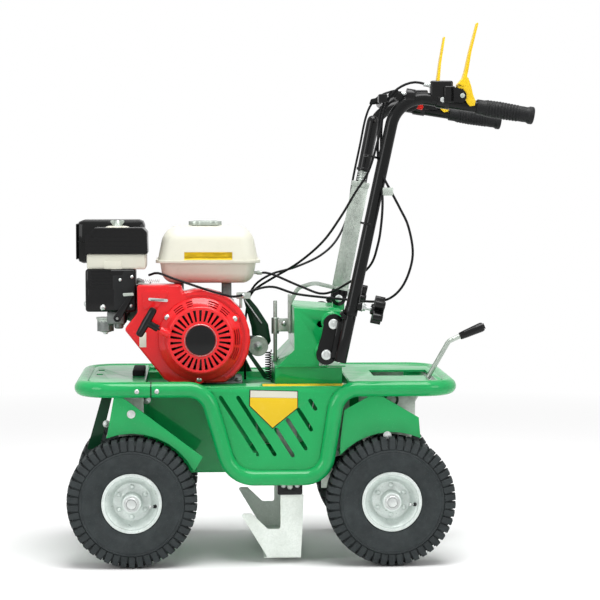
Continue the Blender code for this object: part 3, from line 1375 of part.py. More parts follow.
def make_cables():
    """Bowden cables from the lever perches to the idler and to the drive below the deck."""
    routes = {
        "clutch_cable_left": [
            (0.4595, -0.220, 0.972), (0.430, -0.221, 0.978), (0.403, -0.222, 0.970),
            (0.381, -0.222, 0.951), (0.367, -0.221, 0.918), (0.355, -0.220, 0.860),
            (0.337, -0.216, 0.800), (0.312, -0.196, 0.757), (0.285, -0.150, 0.706),
            (0.252, -0.100, 0.655), (0.205, -0.045, 0.610), (0.155, 0.000, 0.577),
            (0.118, 0.024, 0.552), (0.104, IDLER_ARM_Y + 0.003, 0.5345)],
        "clutch_cable_right": [
            (0.4595, 0.220, 0.972), (0.430, 0.221, 0.978), (0.403, 0.222, 0.970),
            (0.381, 0.222, 0.951), (0.367, 0.221, 0.918), (0.355, 0.220, 0.860),
            (0.338, 0.213, 0.780), (0.326, 0.196, 0.706), (0.300, 0.165, 0.652),
            (0.262, 0.135, 0.618), (0.206, 0.105, 0.594), (0.150, 0.092, 0.578),
            (0.112, 0.088, 0.548), (0.098, 0.088, 0.490), (0.096, 0.088, 0.420),
            (0.096, 0.088, TRAY_TOP + 0.0005)],
    }
    for name, points in routes.items():
        cable = tube(name, smooth_route(points, 0.030), 0.0025, 8)
        finish(cable, name, material("cable_rubber", BLACK, 0.5, 0.0))


make_wheels()
make_handle_mount("handle_mount_left", -1.0)
make_handle_mount("handle_mount_right", 1.0)
make_handlebar()
make_grip("grip_left", -1.0)
make_grip("grip_right", 1.0)
make_clutch_lever("clutch_lever_left", -1.0, math.radians(14.0))
make_clutch_lever("clutch_lever_right", 1.0, math.radians(9.0))
make_throttle_lever()
make_knobs()
make_depth_lever()
make_gear_lever()
make_cables()
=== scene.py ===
"""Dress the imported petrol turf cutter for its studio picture.

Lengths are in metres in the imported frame: +X is the rear, where the operator walks, -Y the near
side with the recoil starter, +Z up, and the ground lies at Z = 0. Places are measured from the
engine's crankshaft, as a fitter would, and the function at moves them into the frame. Outlines and
profiles that stand as plain numbers are in millimetres, in the functions mm and rounded.
"""
from __future__ import annotations

import json
import logging
from dataclasses import dataclass
from enum import Enum
from math import atan2, cos, degrees, pi, radians, sin, tan
from typing import Callable, Iterable, Sequence

import bpy
from mathutils import Matrix, Vector


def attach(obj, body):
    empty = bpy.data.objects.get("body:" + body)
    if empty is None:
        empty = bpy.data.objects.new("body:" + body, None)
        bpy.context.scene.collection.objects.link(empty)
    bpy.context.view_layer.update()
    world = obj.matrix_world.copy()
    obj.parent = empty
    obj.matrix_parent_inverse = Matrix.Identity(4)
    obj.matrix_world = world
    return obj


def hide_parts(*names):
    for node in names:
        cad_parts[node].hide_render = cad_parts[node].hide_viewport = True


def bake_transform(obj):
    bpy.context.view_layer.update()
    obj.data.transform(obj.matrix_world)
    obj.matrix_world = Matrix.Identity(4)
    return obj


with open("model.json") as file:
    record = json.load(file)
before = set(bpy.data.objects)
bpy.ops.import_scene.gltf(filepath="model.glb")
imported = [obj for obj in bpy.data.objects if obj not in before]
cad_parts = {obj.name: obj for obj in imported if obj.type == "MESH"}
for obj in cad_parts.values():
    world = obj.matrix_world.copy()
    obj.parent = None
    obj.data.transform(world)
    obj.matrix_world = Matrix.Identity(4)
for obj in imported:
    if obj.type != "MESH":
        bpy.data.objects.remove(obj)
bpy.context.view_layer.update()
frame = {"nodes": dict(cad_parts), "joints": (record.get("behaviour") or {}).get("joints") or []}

LOG = logging.getLogger("turf_cutter")

Piece = bpy.types.Object
Socket = bpy.types.NodeSocket
Point = Sequence[float]
Outline = list[tuple[float, float]]

JOINTS = {joint["name"]: joint for joint in frame["joints"]}
CRANK = Vector(JOINTS["crank"]["pos_m"])
GAP = 0.0003
NEAR = (0, -1, 0)
UP = (0, 0, 1)
HUB = (0.0, CRANK.z)
WHITE = (1.0, 1.0, 1.0, 1.0)


class Place(Enum):
    """A place that stands in a piece's name in small letters."""

    def __str__(self) -> str:
        """The word for the name."""
        return self.name.lower()


class Side(Place):
    """The two sides of the machine, with the sign of their Y."""

    LEFT = -1.0
    RIGHT = 1.0

    def __mul__(self, distance: float) -> float:
        """Y of a place at a distance towards this side."""
        return self.value * distance


class End(Place):
    """The two axles, with their joint."""

    FRONT = "front_wheels"
    REAR = "rear_wheels"


def at(x: float, y: float, z: float) -> Vector:
    """Place in the frame of a point behind the crankshaft, towards the far side and over the ground."""
    return Vector((x + CRANK.x, y, z))


def mm(*points: Point) -> Outline:
    """Turn an outline or a profile given in millimetres into metres."""
    return [(first / 1000.0, second / 1000.0) for first, second in points]


def linear(code: str) -> tuple[float, float, float, float]:
    """Turn a colour code such as 21B566 into linear values with full opacity."""
    shares = [int(code[place:place + 2], 16) / 255.0 for place in (0, 2, 4)]
    values = [share / 12.92 if share <= 0.04045 else ((share + 0.055) / 1.055) ** 2.4 for share in shares]
    return (values[0], values[1], values[2], 1.0)


def arc(centre: Point, radius: float, start: float, end: float, steps: int) -> Outline:
    """Points on an arc, with angles in degrees, both ends included."""
    angles = [radians(start + (end - start) * step / steps) for step in range(steps + 1)]
    return [(centre[0] + radius * cos(a), centre[1] + radius * sin(a)) for a in angles]


def heading(angle: float) -> Vector:
    """Direction across the near side, at an angle in degrees from the rear up."""
    return Vector((cos(radians(angle)), 0.0, sin(radians(angle))))


def ring(centre: Point, radius: float, steps: int = 32) -> Outline:
    """Points round a circle, each given once."""
    return arc(centre, radius, 0.0, 360.0 - 360.0 / steps, steps - 1)


def filleted(points: Iterable[Point], radii: Sequence[float], steps: int = 8,
             closed: bool = False) -> list[Vector]:
    """Round the corners of a polyline.

    Args:
        points: The corners.
        radii: One radius for each corner; 0 keeps it sharp.
        steps: Straight pieces in each rounded corner.
        closed: Whether the last corner runs on to the first.

    Returns:
        The points of the rounded polyline.
    """
    corners = [Vector(point) for point in points]
    count = len(corners)
    result: list[Vector] = []
    for index, (corner, radius) in enumerate(zip(corners, radii)):
        if radius == 0.0 or (not closed and index in (0, count - 1)):
            result.append(corner.copy())
            continue
        to_last = (corners[index - 1] - corner).normalized()
        to_next = (corners[(index + 1) % count] - corner).normalized()
        half = 0.5 * to_last.angle(to_next)
        centre = corner + (to_last + to_next).normalized() * (radius / sin(half))
        first = corner + to_last * (radius / tan(half)) - centre
        last = corner + to_next * (radius / tan(half)) - centre
        sweep = first.angle(last)
        for step in range(steps + 1):
            share = step / steps
            first_part = first * (sin((1.0 - share) * sweep) / sin(sweep))
            last_part = last * (sin(share * sweep) / sin(sweep))
            result.append(centre + first_part + last_part)
    return result


def rounded(*corners: Point, steps: int = 4) -> list[Vector]:
    """Closed outline with rounded corners, each given in millimetres as (x, z, radius)."""
    radii = [radius / 1000.0 for _, _, radius in corners]
    return filleted(mm(*[(x, z) for x, z, _ in corners]), radii, steps, True)


def smooth_route(points: Iterable[Point], step: float) -> list[Vector]:
    """Read points about a step apart from a smooth curve through a cable's own points."""
    knots = [Vector(point) for point in points]
    knots = [2.0 * knots[0] - knots[1]] + knots + [2.0 * knots[-1] - knots[-2]]
    route = [knots[1]]
    for before, first, last, after in zip(knots, knots[1:], knots[2:], knots[3:]):
        pieces = max(1, round((last - first).length / step))
        for piece in range(1, pieces + 1):
            t = piece / pieces
            route.append(0.5 * (2.0 * first + (last - before) * t
                                + (2.0 * before - 5.0 * first + 4.0 * last - after) * t ** 2
                                + (3.0 * first - before - 3.0 * last + after) * t ** 3))
    return route


def coil(foot: Vector, radius: float, turns: int, rise: float, steps: int) -> list[Vector]:
    """Points on an upright coil round a line that starts at its foot.

    Args:
        foot: Start of the line.
        radius: Radius of the coil.
        turns: Number of turns.
        rise: Height of the whole coil.
        steps: Straight pieces of the wire.

    Returns:
        The wire's points.
    """
    result = []
    for step in range(steps + 1):
        angle = 2.0 * pi * turns * step / steps
        result.append(foot + Vector((radius * cos(angle), radius * sin(angle), rise * step / steps)))
    return result


# Bench tools: every one leaves a mesh object that sits at the origin

def only(*pieces: Piece) -> None:
    """Select these objects and nothing else; the first, if there is one, becomes the active one."""
    bpy.ops.object.select_all(action="DESELECT")
    for piece in pieces:
        piece.select_set(True)
    if pieces:
        bpy.context.view_layer.objects.active = pieces[0]


def named(name: str) -> Piece:
    """Name the active object, apply its place to its mesh and return it."""
    piece = bpy.context.object
    piece.name = name
    piece.data.name = name
    bpy.ops.object.transform_apply(location=True, rotation=True, scale=True)
    return piece


def edit(piece: Piece, work: Callable[[], None]) -> Piece:
    """Select all of a mesh in edit mode, do the work and come back."""
    only(piece)
    bpy.ops.object.mode_set(mode="EDIT")
    bpy.ops.mesh.select_mode(type="VERT")
    bpy.ops.mesh.select_all(action="SELECT")
    work()
    bpy.ops.object.mode_set(mode="OBJECT")
    return piece


def heal() -> None:
    """In edit mode, merge doubles and turn all faces outwards."""
    bpy.ops.mesh.select_all(action="SELECT")
    bpy.ops.mesh.remove_doubles(threshold=1e-5)
    bpy.ops.mesh.normals_make_consistent(inside=False)


def applied(piece: Piece, kind: str, **settings: object) -> Piece:
    """Add a modifier with these settings and apply it."""
    only(piece)
    step = piece.modifiers.new(kind.lower(), kind)
    for key, value in settings.items():
        setattr(step, key, value)
    bpy.ops.object.modifier_apply(modifier=step.name)
    return piece


def soften(piece: Piece, width: float, segments: int = 2, angle: float = 30.0,
           clamp: bool = True) -> Piece:
    """Round every edge sharper than an angle.

    Args:
        piece: The mesh.
        width: Width of the rounded edges; 0 leaves them sharp.
        segments: Faces across a rounded edge.
        angle: Angle in degrees from which an edge counts.
        clamp: Whether roundings stop where they would meet.

    Returns:
        The piece.
    """
    if width <= 0.0:
        return piece
    return applied(piece, "BEVEL", width=width, segments=segments, limit_method="ANGLE",
                   angle_limit=radians(angle), use_clamp_overlap=clamp)


def box(name: str, first: Point, second: Point, bevel: float = 0.0, segments: int = 2) -> Piece:
    """Add a cube between two opposite corners and round its edges.

    Args:
        name: Name of the piece.
        first: One corner.
        second: The opposite corner.
        bevel: Width of the rounded edges.
        segments: Faces across a rounded edge.

    Returns:
        The piece.
    """
    low, high = Vector(map(min, first, second)), Vector(map(max, first, second))
    only()
    bpy.ops.mesh.primitive_cube_add(size=1.0, location=0.5 * (low + high))
    bpy.context.object.scale = high - low
    return soften(named(name), bevel, segments)


def rod(name: str, start: Point, end: Point, radius: float, sides: int = 32, bevel: float = 0.0,
        end_radius: float | None = None) -> Piece:
    """Add a cylinder or cone between two points and round its rims.

    Args:
        name: Name of the piece.
        start: Centre of the first end.
        end: Centre of the other end.
        radius: Radius at the start.
        sides: Faces round the piece.
        bevel: Width of the rounded rims.
        end_radius: Radius at the end, if it differs.

    Returns:
        The piece.
    """
    start, end = Vector(start), Vector(end)
    only()
    bpy.ops.mesh.primitive_cone_add(
        vertices=sides, radius1=radius, radius2=radius if end_radius is None else end_radius,
        depth=(end - start).length, location=0.5 * (start + end),
        rotation=(end - start).to_track_quat("Z", "Y").to_euler())
    return soften(named(name), bevel, 2, 60.0)


def lathe(name: str, profile: Iterable[Point], centre: Point, axis: Point, steps: int = 48,
          closed: bool = False) -> Piece:
    """Spin a profile about an axis.

    Args:
        name: Name of the piece.
        profile: Points as (radius, distance along the axis).
        centre: Point on the axis from which distances count.
        axis: Direction of the axis.
        steps: Faces round the piece.
        closed: Whether the profile runs on from its last point to its first.

    Returns:
        The turned piece.
    """
    axis = Vector(axis).normalized()
    out = axis.orthogonal().normalized()
    points = [Vector(centre) + out * radius + axis * along for radius, along in profile]
    if closed:
        points.append(points[0])
    only()
    bpy.ops.mesh.primitive_plane_add(size=0.001, location=points[0])
    piece = named(name)

    def turn() -> None:
        """Draw the profile edge by edge and spin it about the axis."""
        bpy.ops.mesh.merge(type="CENTER")
        for before, after in zip(points, points[1:]):
            bpy.ops.mesh.extrude_region_move(TRANSFORM_OT_translate={"value": after - before})
        bpy.ops.mesh.select_all(action="SELECT")
        bpy.ops.mesh.spin(steps=steps, angle=2.0 * pi, center=Vector(centre), axis=axis)
        heal()

    return edit(piece, turn)


def from_curve(name: str, loops: Iterable[Iterable[Point]], closed: bool,
               **settings: object) -> Piece:
    """Add a path, redraw it as straight runs and turn it into a mesh with its settings.

    Args:
        name: Name of the piece.
        loops: Points of each run.
        closed: Whether the runs close.
        settings: Settings of the curve, such as its thickness.

    Returns:
        The mesh.
    """
    only()
    bpy.ops.curve.primitive_nurbs_path_add()
    curve = bpy.context.object.data
    curve.splines.clear()
    for loop in loops:
        places = [Vector(point) for point in loop]
        spline = curve.splines.new("POLY")
        spline.points.add(len(places) - 1)
        for point, place in zip(spline.points, places):
            point.co = (*place.to_3d(), 1.0)
        spline.use_cyclic_u = closed
    for key, value in settings.items():
        setattr(curve, key, value)
    bpy.ops.object.convert(target="MESH")
    return edit(named(name), heal)


def tube(name: str, points: Iterable[Point], radius: float, sides: int = 16,
         closed: bool = False) -> Piece:
    """Sweep a round section along a path."""
    return from_curve(name, [points], closed, dimensions="3D", bevel_depth=radius,
                      bevel_resolution=sides // 2 - 2, use_fill_caps=not closed)


def plate(name: str, outline: Iterable[Point], y_start: float, y_end: float,
          bevel: float = 0.0, holes: Iterable[Iterable[Point]] = ()) -> Piece:
    """Cut an upright sheet from an outline of (x, z) places, and give it its thickness across Y.

    Args:
        name: Name of the piece.
        outline: Outline as (x, z) behind the crankshaft.
        y_start: One face.
        y_end: The other face.
        bevel: Width of the rounded edges.
        holes: Outlines that are left open.

    Returns:
        The sheet.
    """
    piece = from_curve(
        name, [outline, *holes], True, dimensions="2D", fill_mode="BOTH",
        extrude=0.5 * abs(y_end - y_start))
    piece.rotation_euler = (0.5 * pi, 0.0, 0.0)
    piece.location = (CRANK.x, 0.5 * (y_start + y_end), 0.0)
    only(piece)
    return soften(named(name), bevel)


def sheet(name: str, outline: Iterable[Point], bottom: float, top: float,
          bevel: float = 0.0, holes: Iterable[Iterable[Point]] = ()) -> Piece:
    """Cut a level sheet from an outline of (x, y) places between two heights.

    Args:
        name: Name of the piece.
        outline: Outline as (x, y) behind the crankshaft.
        bottom: Height of the lower face.
        top: Height of the upper face.
        bevel: Width of the rounded edges.
        holes: Outlines that are left open.

    Returns:
        The sheet.
    """
    piece = from_curve(
        name, [outline, *holes], True, dimensions="2D", fill_mode="BOTH", extrude=0.5 * (top - bottom))
    piece.location = (CRANK.x, 0.0, 0.5 * (bottom + top))
    only(piece)
    return soften(named(name), bevel)


def copied(piece: Piece, name: str, move: Matrix | None = None) -> Piece:
    """Copy a piece with a mesh of its own, and move it."""
    twin = piece.copy()
    twin.data = piece.data.copy()
    bpy.context.collection.objects.link(twin)
    twin.name = name
    if move is not None:
        twin.data.transform(move)
    return twin


def turned(piece: Piece, angle: float, centre: Point, axis: Point = (0, 1, 0)) -> Piece:
    """Turn a mesh about a line; about Y, a positive angle leans its top to the rear."""
    there = Matrix.Translation(Vector(centre))
    piece.data.transform(there @ Matrix.Rotation(angle, 4, Vector(axis)) @ there.inverted())
    return piece


def spun(pattern: Piece, count: int, centre: Point, start: float = 0.0) -> list[Piece]:
    """Repeat a pattern at even steps about a line along Y, from a start in degrees, and remove it."""
    pieces = [turned(copied(pattern, "copy"), radians(360.0 * number / count + start), centre)
              for number in range(count)]
    bpy.data.objects.remove(pattern, do_unlink=True)
    return pieces


def joined(name: str, *pieces: Piece) -> Piece:
    """Join pieces into one object."""
    only(*pieces)
    if len(pieces) > 1:
        bpy.ops.object.join()
    pieces[0].name = name
    return pieces[0]


def carved(piece: Piece, *tools: Piece, operation: str = "DIFFERENCE") -> Piece:
    """Cut tools out of a piece, or weld them on with operation UNION, and remove them."""
    for tool in tools:
        applied(piece, "BOOLEAN", object=tool, operation=operation, solver="EXACT")
        bpy.data.objects.remove(tool, do_unlink=True)
    return piece


def retraced(node: str, name: str, bevel: float, segments: int = 2) -> Piece:
    """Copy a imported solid, merge its loose triangles and round its edges; the copy stands for it.

    Args:
        node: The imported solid.
        name: Name of the copy.
        bevel: Width of the rounded edges.
        segments: Faces across a rounded edge.

    Returns:
        The copy.
    """
    piece = copied(frame["nodes"][node], name)
    piece.parent = None
    piece.matrix_world = Matrix.Identity(4)

    def merge() -> None:
        """Merge doubles and dissolve the seams in flat faces."""
        heal()
        bpy.ops.mesh.dissolve_limited(angle_limit=radians(1.0))

    edit(piece, merge)
    soften(piece, bevel, segments)
    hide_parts(node)
    return piece


# Finishes

class Recipe:
    """A material under construction: its shader and the nodes that feed it."""

    def __init__(self, name: str, colour: str, roughness: float, metallic: float = 0.0) -> None:
        """Start a material with plain values on its shader."""
        self.material = bpy.data.materials.new(name)
        self.material.use_nodes = True
        self.tree = self.material.node_tree
        self.shader = self.tree.nodes["Principled BSDF"]
        self.set("Base Color", linear(colour))
        self.set("Roughness", roughness)
        self.set("Metallic", metallic)
        self.place = self.tree.nodes.new("ShaderNodeTexCoord").outputs["Object"]

    def set(self, socket: str, value: object) -> None:
        """Give one of the shader's own sockets a value."""
        self.shader.inputs[socket].default_value = value

    def feed(self, socket: str, source: Socket) -> None:
        """Link a node's output to one of the shader's sockets."""
        self.tree.links.new(source, self.shader.inputs[socket])

    def add(self, kind: str, **values: object) -> bpy.types.Node:
        """Add a node; a value that is an output is linked, any other is set."""
        node = self.tree.nodes.new(f"ShaderNode{kind}")
        for key, value in values.items():
            name = key.replace("_", " ").title() if len(key) > 1 else key
            if isinstance(value, Socket):
                self.tree.links.new(value, node.inputs[name])
            else:
                node.inputs[name].default_value = value
        return node

    def stretched(self, scale: Point) -> Socket:
        """Object coordinates, stretched by a factor along each axis."""
        return self.add("Mapping", vector=self.place, scale=tuple(scale)).outputs["Vector"]

    def noise(self, scale: float, detail: float = 3.0, roughness: float = 0.55,
              vector: Socket | None = None) -> Socket:
        """Cloudy grey values from a noise texture."""
        return self.add("TexNoise", vector=vector or self.place, scale=scale, detail=detail,
                        roughness=roughness).outputs["Fac"]

    def spread(self, source: Socket, low: float, high: float, to_low: float,
               to_high: float) -> Socket:
        """Stretch grey values from one range to another, clamped at both ends."""
        return self.add("MapRange", value=source, from_min=low, from_max=high, to_min=to_low,
                        to_max=to_high).outputs["Result"]

    def blend(self, first: str | Socket, second: str | Socket, share: Socket) -> Socket:
        """Mix two colours, given as codes or outputs, by a grey value."""
        node = self.tree.nodes.new("ShaderNodeMix")
        node.data_type = "RGBA"
        self.tree.links.new(share, node.inputs[0])
        for place, value in ((6, first), (7, second)):
            if isinstance(value, Socket):
                self.tree.links.new(value, node.inputs[place])
            else:
                node.inputs[place].default_value = linear(value)
        return node.outputs[2]

    def bump(self, height: Socket, strength: float, depth: float) -> None:
        """Let grey values raise and lower the surface."""
        node = self.add("Bump", height=height, strength=strength, distance=depth)
        previous = self.shader.inputs["Normal"].links
        if previous:
            self.tree.links.new(previous[0].from_socket, node.inputs["Normal"])
        self.feed("Normal", node.outputs["Normal"])


@dataclass(frozen=True)
class Enamel:
    """Powder coat: an even colour with faint orange peel, soft clouds and a little dust."""

    name: str
    colour: str
    shade: str
    dust: str = "B9BDB4"
    roughness: float = 0.3
    coat: float = 0.35
    peel: float = 900.0
    specular: float = 0.4

    def build(self) -> bpy.types.Material:
        """Make the material."""
        recipe = Recipe(self.name, self.colour, self.roughness)
        clouds = recipe.spread(recipe.noise(9.0, 4.0), 0.35, 0.7, 0.0, 0.55)
        tone = recipe.blend(self.colour, self.shade, clouds)
        specks = recipe.spread(recipe.noise(340.0, 2.0), 0.66, 0.76, 0.0, 0.35)
        recipe.feed("Base Color", recipe.blend(tone, self.dust, specks))
        smears = recipe.noise(26.0, 5.0, 0.6)
        recipe.feed(
            "Roughness", recipe.spread(smears, 0.3, 0.75, self.roughness - 0.06, self.roughness + 0.14))
        recipe.set("Specular IOR Level", self.specular)
        recipe.set("Coat Weight", self.coat)
        recipe.set("Coat Roughness", 0.07)
        recipe.bump(recipe.noise(self.peel, 2.0), 0.12, 0.0004)
        return recipe.material


@dataclass(frozen=True)
class Moulded:
    """Moulded plastic or a soft sheath, with a fine grain and scuffs that catch light."""

    name: str
    colour: str
    scuff: str
    roughness: float = 0.5
    grain: float = 1600.0
    depth: float = 0.0004
    specular: float = 0.4

    def build(self) -> bpy.types.Material:
        """Make the material."""
        recipe = Recipe(self.name, self.colour, self.roughness)
        scuffs = recipe.spread(recipe.noise(60.0, 6.0, 0.7), 0.52, 0.8, 0.0, 0.4)
        recipe.feed("Base Color", recipe.blend(self.colour, self.scuff, scuffs))
        recipe.feed(
            "Roughness",
            recipe.spread(recipe.noise(35.0, 4.0), 0.3, 0.7, self.roughness - 0.08, self.roughness + 0.1))
        recipe.set("Specular IOR Level", self.specular)
        recipe.bump(recipe.noise(self.grain, 2.0), 0.18, self.depth)
        return recipe.material


@dataclass(frozen=True)
class TyreRubber:
    """Carbon-grey rubber with pale dust in soft clouds and fine pale specks."""

    name: str = "tyre_rubber"
    colour: str = "25292A"
    dust: str = "3D4344"

    def build(self) -> bpy.types.Material:
        """Make the material."""
        recipe = Recipe(self.name, self.colour, 0.8)
        recipe.set("Specular IOR Level", 0.25)
        clouds = recipe.spread(recipe.noise(30.0, 5.0, 0.6), 0.38, 0.72, 0.15, 0.5)
        tone = recipe.blend(self.colour, self.dust, clouds)
        fine = recipe.spread(recipe.noise(500.0, 3.0), 0.62, 0.78, 0.0, 0.25)
        recipe.feed("Base Color", recipe.blend(tone, "70767A", fine))
        recipe.feed("Roughness", recipe.spread(recipe.noise(80.0, 3.0), 0.3, 0.7, 0.68, 0.92))
        recipe.bump(recipe.noise(700.0, 4.0), 0.3, 0.0006)
        return recipe.material


@dataclass(frozen=True)
class Plated:
    """Zinc plate: dull metal whose spangle and rinse marks vary in tone."""

    name: str
    colour: str
    mark: str
    roughness: float = 0.42
    metallic: float = 0.85
    spangle: float = 260.0

    def build(self) -> bpy.types.Material:
        """Make the material."""
        recipe = Recipe(self.name, self.colour, self.roughness, self.metallic)
        cells = recipe.add("TexVoronoi", vector=recipe.place, scale=self.spangle)
        cell_tone = recipe.spread(cells.outputs["Color"], 0.2, 0.9, 0.0, 0.35)
        marks = recipe.spread(recipe.noise(30.0, 6.0, 0.65), 0.4, 0.75, 0.0, 0.7)
        tone = recipe.blend(self.colour, self.mark, marks)
        recipe.feed("Base Color", recipe.blend(tone, self.mark, cell_tone))
        recipe.feed(
            "Roughness",
            recipe.spread(recipe.noise(110.0, 4.0), 0.3, 0.7, self.roughness - 0.1, self.roughness + 0.15))
        recipe.bump(recipe.noise(420.0, 3.0), 0.1, 0.0003)
        return recipe.material


@dataclass(frozen=True)
class Brushed:
    """Ground or turned steel: long fine scratches along one direction."""

    name: str
    colour: str
    mark: str
    grain: tuple[float, float, float]
    roughness: float = 0.34
    metallic: float = 0.9

    def build(self) -> bpy.types.Material:
        """Make the material."""
        recipe = Recipe(self.name, self.colour, self.roughness, self.metallic)
        scratches = recipe.noise(60.0, 4.0, 0.7, recipe.stretched(self.grain))
        marks = recipe.spread(scratches, 0.35, 0.75, 0.0, 0.6)
        recipe.feed("Base Color", recipe.blend(self.colour, self.mark, marks))
        recipe.feed(
            "Roughness", recipe.spread(scratches, 0.3, 0.7, self.roughness - 0.08, self.roughness + 0.16))
        recipe.bump(scratches, 0.15, 0.0002)
        return recipe.material


@dataclass(frozen=True)
class Cast:
    """Die-cast aluminium: sandy grain with darker, oily stains."""

    name: str = "cast_aluminium"
    colour: str = "868A88"
    hollow: str = "4B504F"
    roughness: float = 0.5

    def build(self) -> bpy.types.Material:
        """Make the material."""
        recipe = Recipe(self.name, self.colour, self.roughness, 0.75)
        stains = recipe.spread(recipe.noise(22.0, 6.0, 0.6), 0.42, 0.75, 0.0, 0.75)
        recipe.feed("Base Color", recipe.blend(self.colour, self.hollow, stains))
        recipe.feed("Roughness", recipe.spread(recipe.noise(90.0, 4.0), 0.3, 0.7, 0.42, 0.68))
        recipe.bump(recipe.noise(520.0, 4.0), 0.35, 0.0005)
        return recipe.material


class Finish(Enum):
    """Every finish of the machine; the value is the record's slot for it."""

    GREEN = "green_paint"
    DARK_GREEN = "dark_green_paint"
    RED = "red_paint"
    RED_PLASTIC = "red_plastic"
    YELLOW = "yellow_plastic"
    TANK = "tank_plastic"
    BLACK = "black_paint"
    BLACK_PLASTIC = "black_plastic"
    GRIP = "grip_rubber"
    SHEATH = "cable_sheath"
    BELT = "belt_rubber"
    TYRE = "tyre_rubber"
    ZINC = "zinc_plate"
    STEEL = "machined_steel"
    BLADE = "blade_steel"
    RIM = "rim_paint"
    CAST = "cast_aluminium"


FORMULAS = {
    Finish.GREEN: Enamel("green_powder_coat", "0E9A52", "0A8746", "4FAE7C", 0.4, 0.5, specular=0.1),
    Finish.DARK_GREEN: Enamel("dark_green_enamel", "083C23", "06301B", "2C4A3B", 0.4, 0.25, specular=0.1),
    Finish.RED: Enamel("red_engine_enamel", "DA1A1F", "C01217", "C85F5A", 0.35, 0.55, specular=0.1),
    Finish.RED_PLASTIC: Moulded("red_moulding", "D8261E", "DB544E", 0.35, specular=0.2),
    Finish.YELLOW: Moulded("yellow_moulding", "DAB620", "E2C34E", 0.4, 1400.0, 0.0003, specular=0.2),
    Finish.TANK: Moulded("tank_enamel", "CAC9BB", "BEBDAF", 0.34, 1500.0, 0.0002, specular=0.2),
    Finish.BLACK: Enamel("black_powder_coat", "0C0D0D", "101111", "242627", 0.4, 0.3, specular=0.04),
    Finish.BLACK_PLASTIC: Enamel("black_moulding", "060607", "0A0B0B", "222324", 0.4, 0.4, specular=0.05),
    Finish.GRIP: Moulded("grip_rubber", "141516", "2A2C2D", 0.5, 900.0, 0.0006, specular=0.2),
    Finish.SHEATH: Moulded("cable_sheath", "0E0F10", "1C1E1F", 0.45, 1200.0, 0.0003, specular=0.15),
    Finish.BELT: Moulded("belt_rubber", "1B1D1E", "303335", 0.8, 900.0, 0.0006, specular=0.15),
    Finish.TYRE: TyreRubber(),
    Finish.ZINC: Plated("zinc_plate", "B4BCB4", "8C958D"),
    Finish.STEEL: Brushed("turned_steel", "C9CDCB", "8B908F", (1.0, 26.0, 1.0)),
    Finish.BLADE: Plated("blade_coat", "E4EAE4", "C6CEC6", 0.42, 0.2, 340.0),
    Finish.RIM: Plated("rim_coat", "D8E0DC", "B2BBB7", 0.36, 0.35, 420.0),
    Finish.CAST: Cast(),
}


@dataclass
class Assembly:
    """A sub-assembly, which gives its pieces their finish and fits them to the machine."""

    materials: dict[Finish, bpy.types.Material]

    def paint(self, piece: Piece, finish: Finish, *nodes: str, angle: float = 35.0) -> None:
        """Shade a piece, give it its finish and report it.

        Args:
            piece: The finished mesh.
            finish: Its finish.
            nodes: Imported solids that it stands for.
            angle: Edges sharper than this stay sharp.
        """
        only(piece)
        bpy.ops.object.shade_smooth_by_angle(angle=radians(angle))
        piece.data.materials.clear()
        piece.data.materials.append(self.materials[finish])
        if nodes:
            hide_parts(*nodes)
        LOG.info("%s in %s", piece.name, finish.name.lower())

    def fit(self, piece: Piece, finish: Finish, *nodes: str, body: str = "frame",
            angle: float = 35.0) -> None:
        """Paint a piece and let it ride on a body."""
        self.paint(piece, finish, *nodes, angle=angle)
        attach(piece, body)

    def bolt(self, name: str, seat: Point, out: Point, size: float, body: str = "frame",
             washer: bool = True) -> None:
        """Set a hexagon bolt head on a face.

        Args:
            name: Name of the piece.
            seat: Place of the face under the head.
            out: Direction away from the face.
            size: Radius across the head's corners.
            body: Body that it rides on.
            washer: Whether a washer lies under the head.
        """
        seat, out = Vector(seat), Vector(out).normalized()
        foot = seat + out * (0.0016 if washer else 0.0)
        top = foot + out * size * 0.55
        pieces = [
            rod(name, foot - out * 0.0002, top, size, 6, 0.06 * size),
            rod(
                "crown", top - out * size * 0.02, top + out * size * 0.12, 0.82 * size, 24, 0.0,
                0.55 * size)]
        if washer:
            pieces.append(rod("washer", seat - out * 0.0004, foot, 1.45 * size, 24, 0.0004))
        self.fit(joined(name, *pieces), Finish.STEEL, body=body)

    def screw(self, name: str, seat: Point, out: Point, radius: float, body: str = "frame") -> None:
        """Set a domed screw with a socket in its head on a face."""
        dome = [(0.0, 0.62), (0.22, 0.6), (0.26, 0.35), (0.3, 0.35), (0.36, 0.6), (0.62, 0.5), (0.86, 0.3),
                (1.0, 0.05), (1.0, -0.08), (0.0, -0.08)]
        self.fit(lathe(name, [(radius * r, radius * h) for r, h in dome], seat, out, 24), Finish.STEEL,
                 body=body)


# Frame, deck and guards

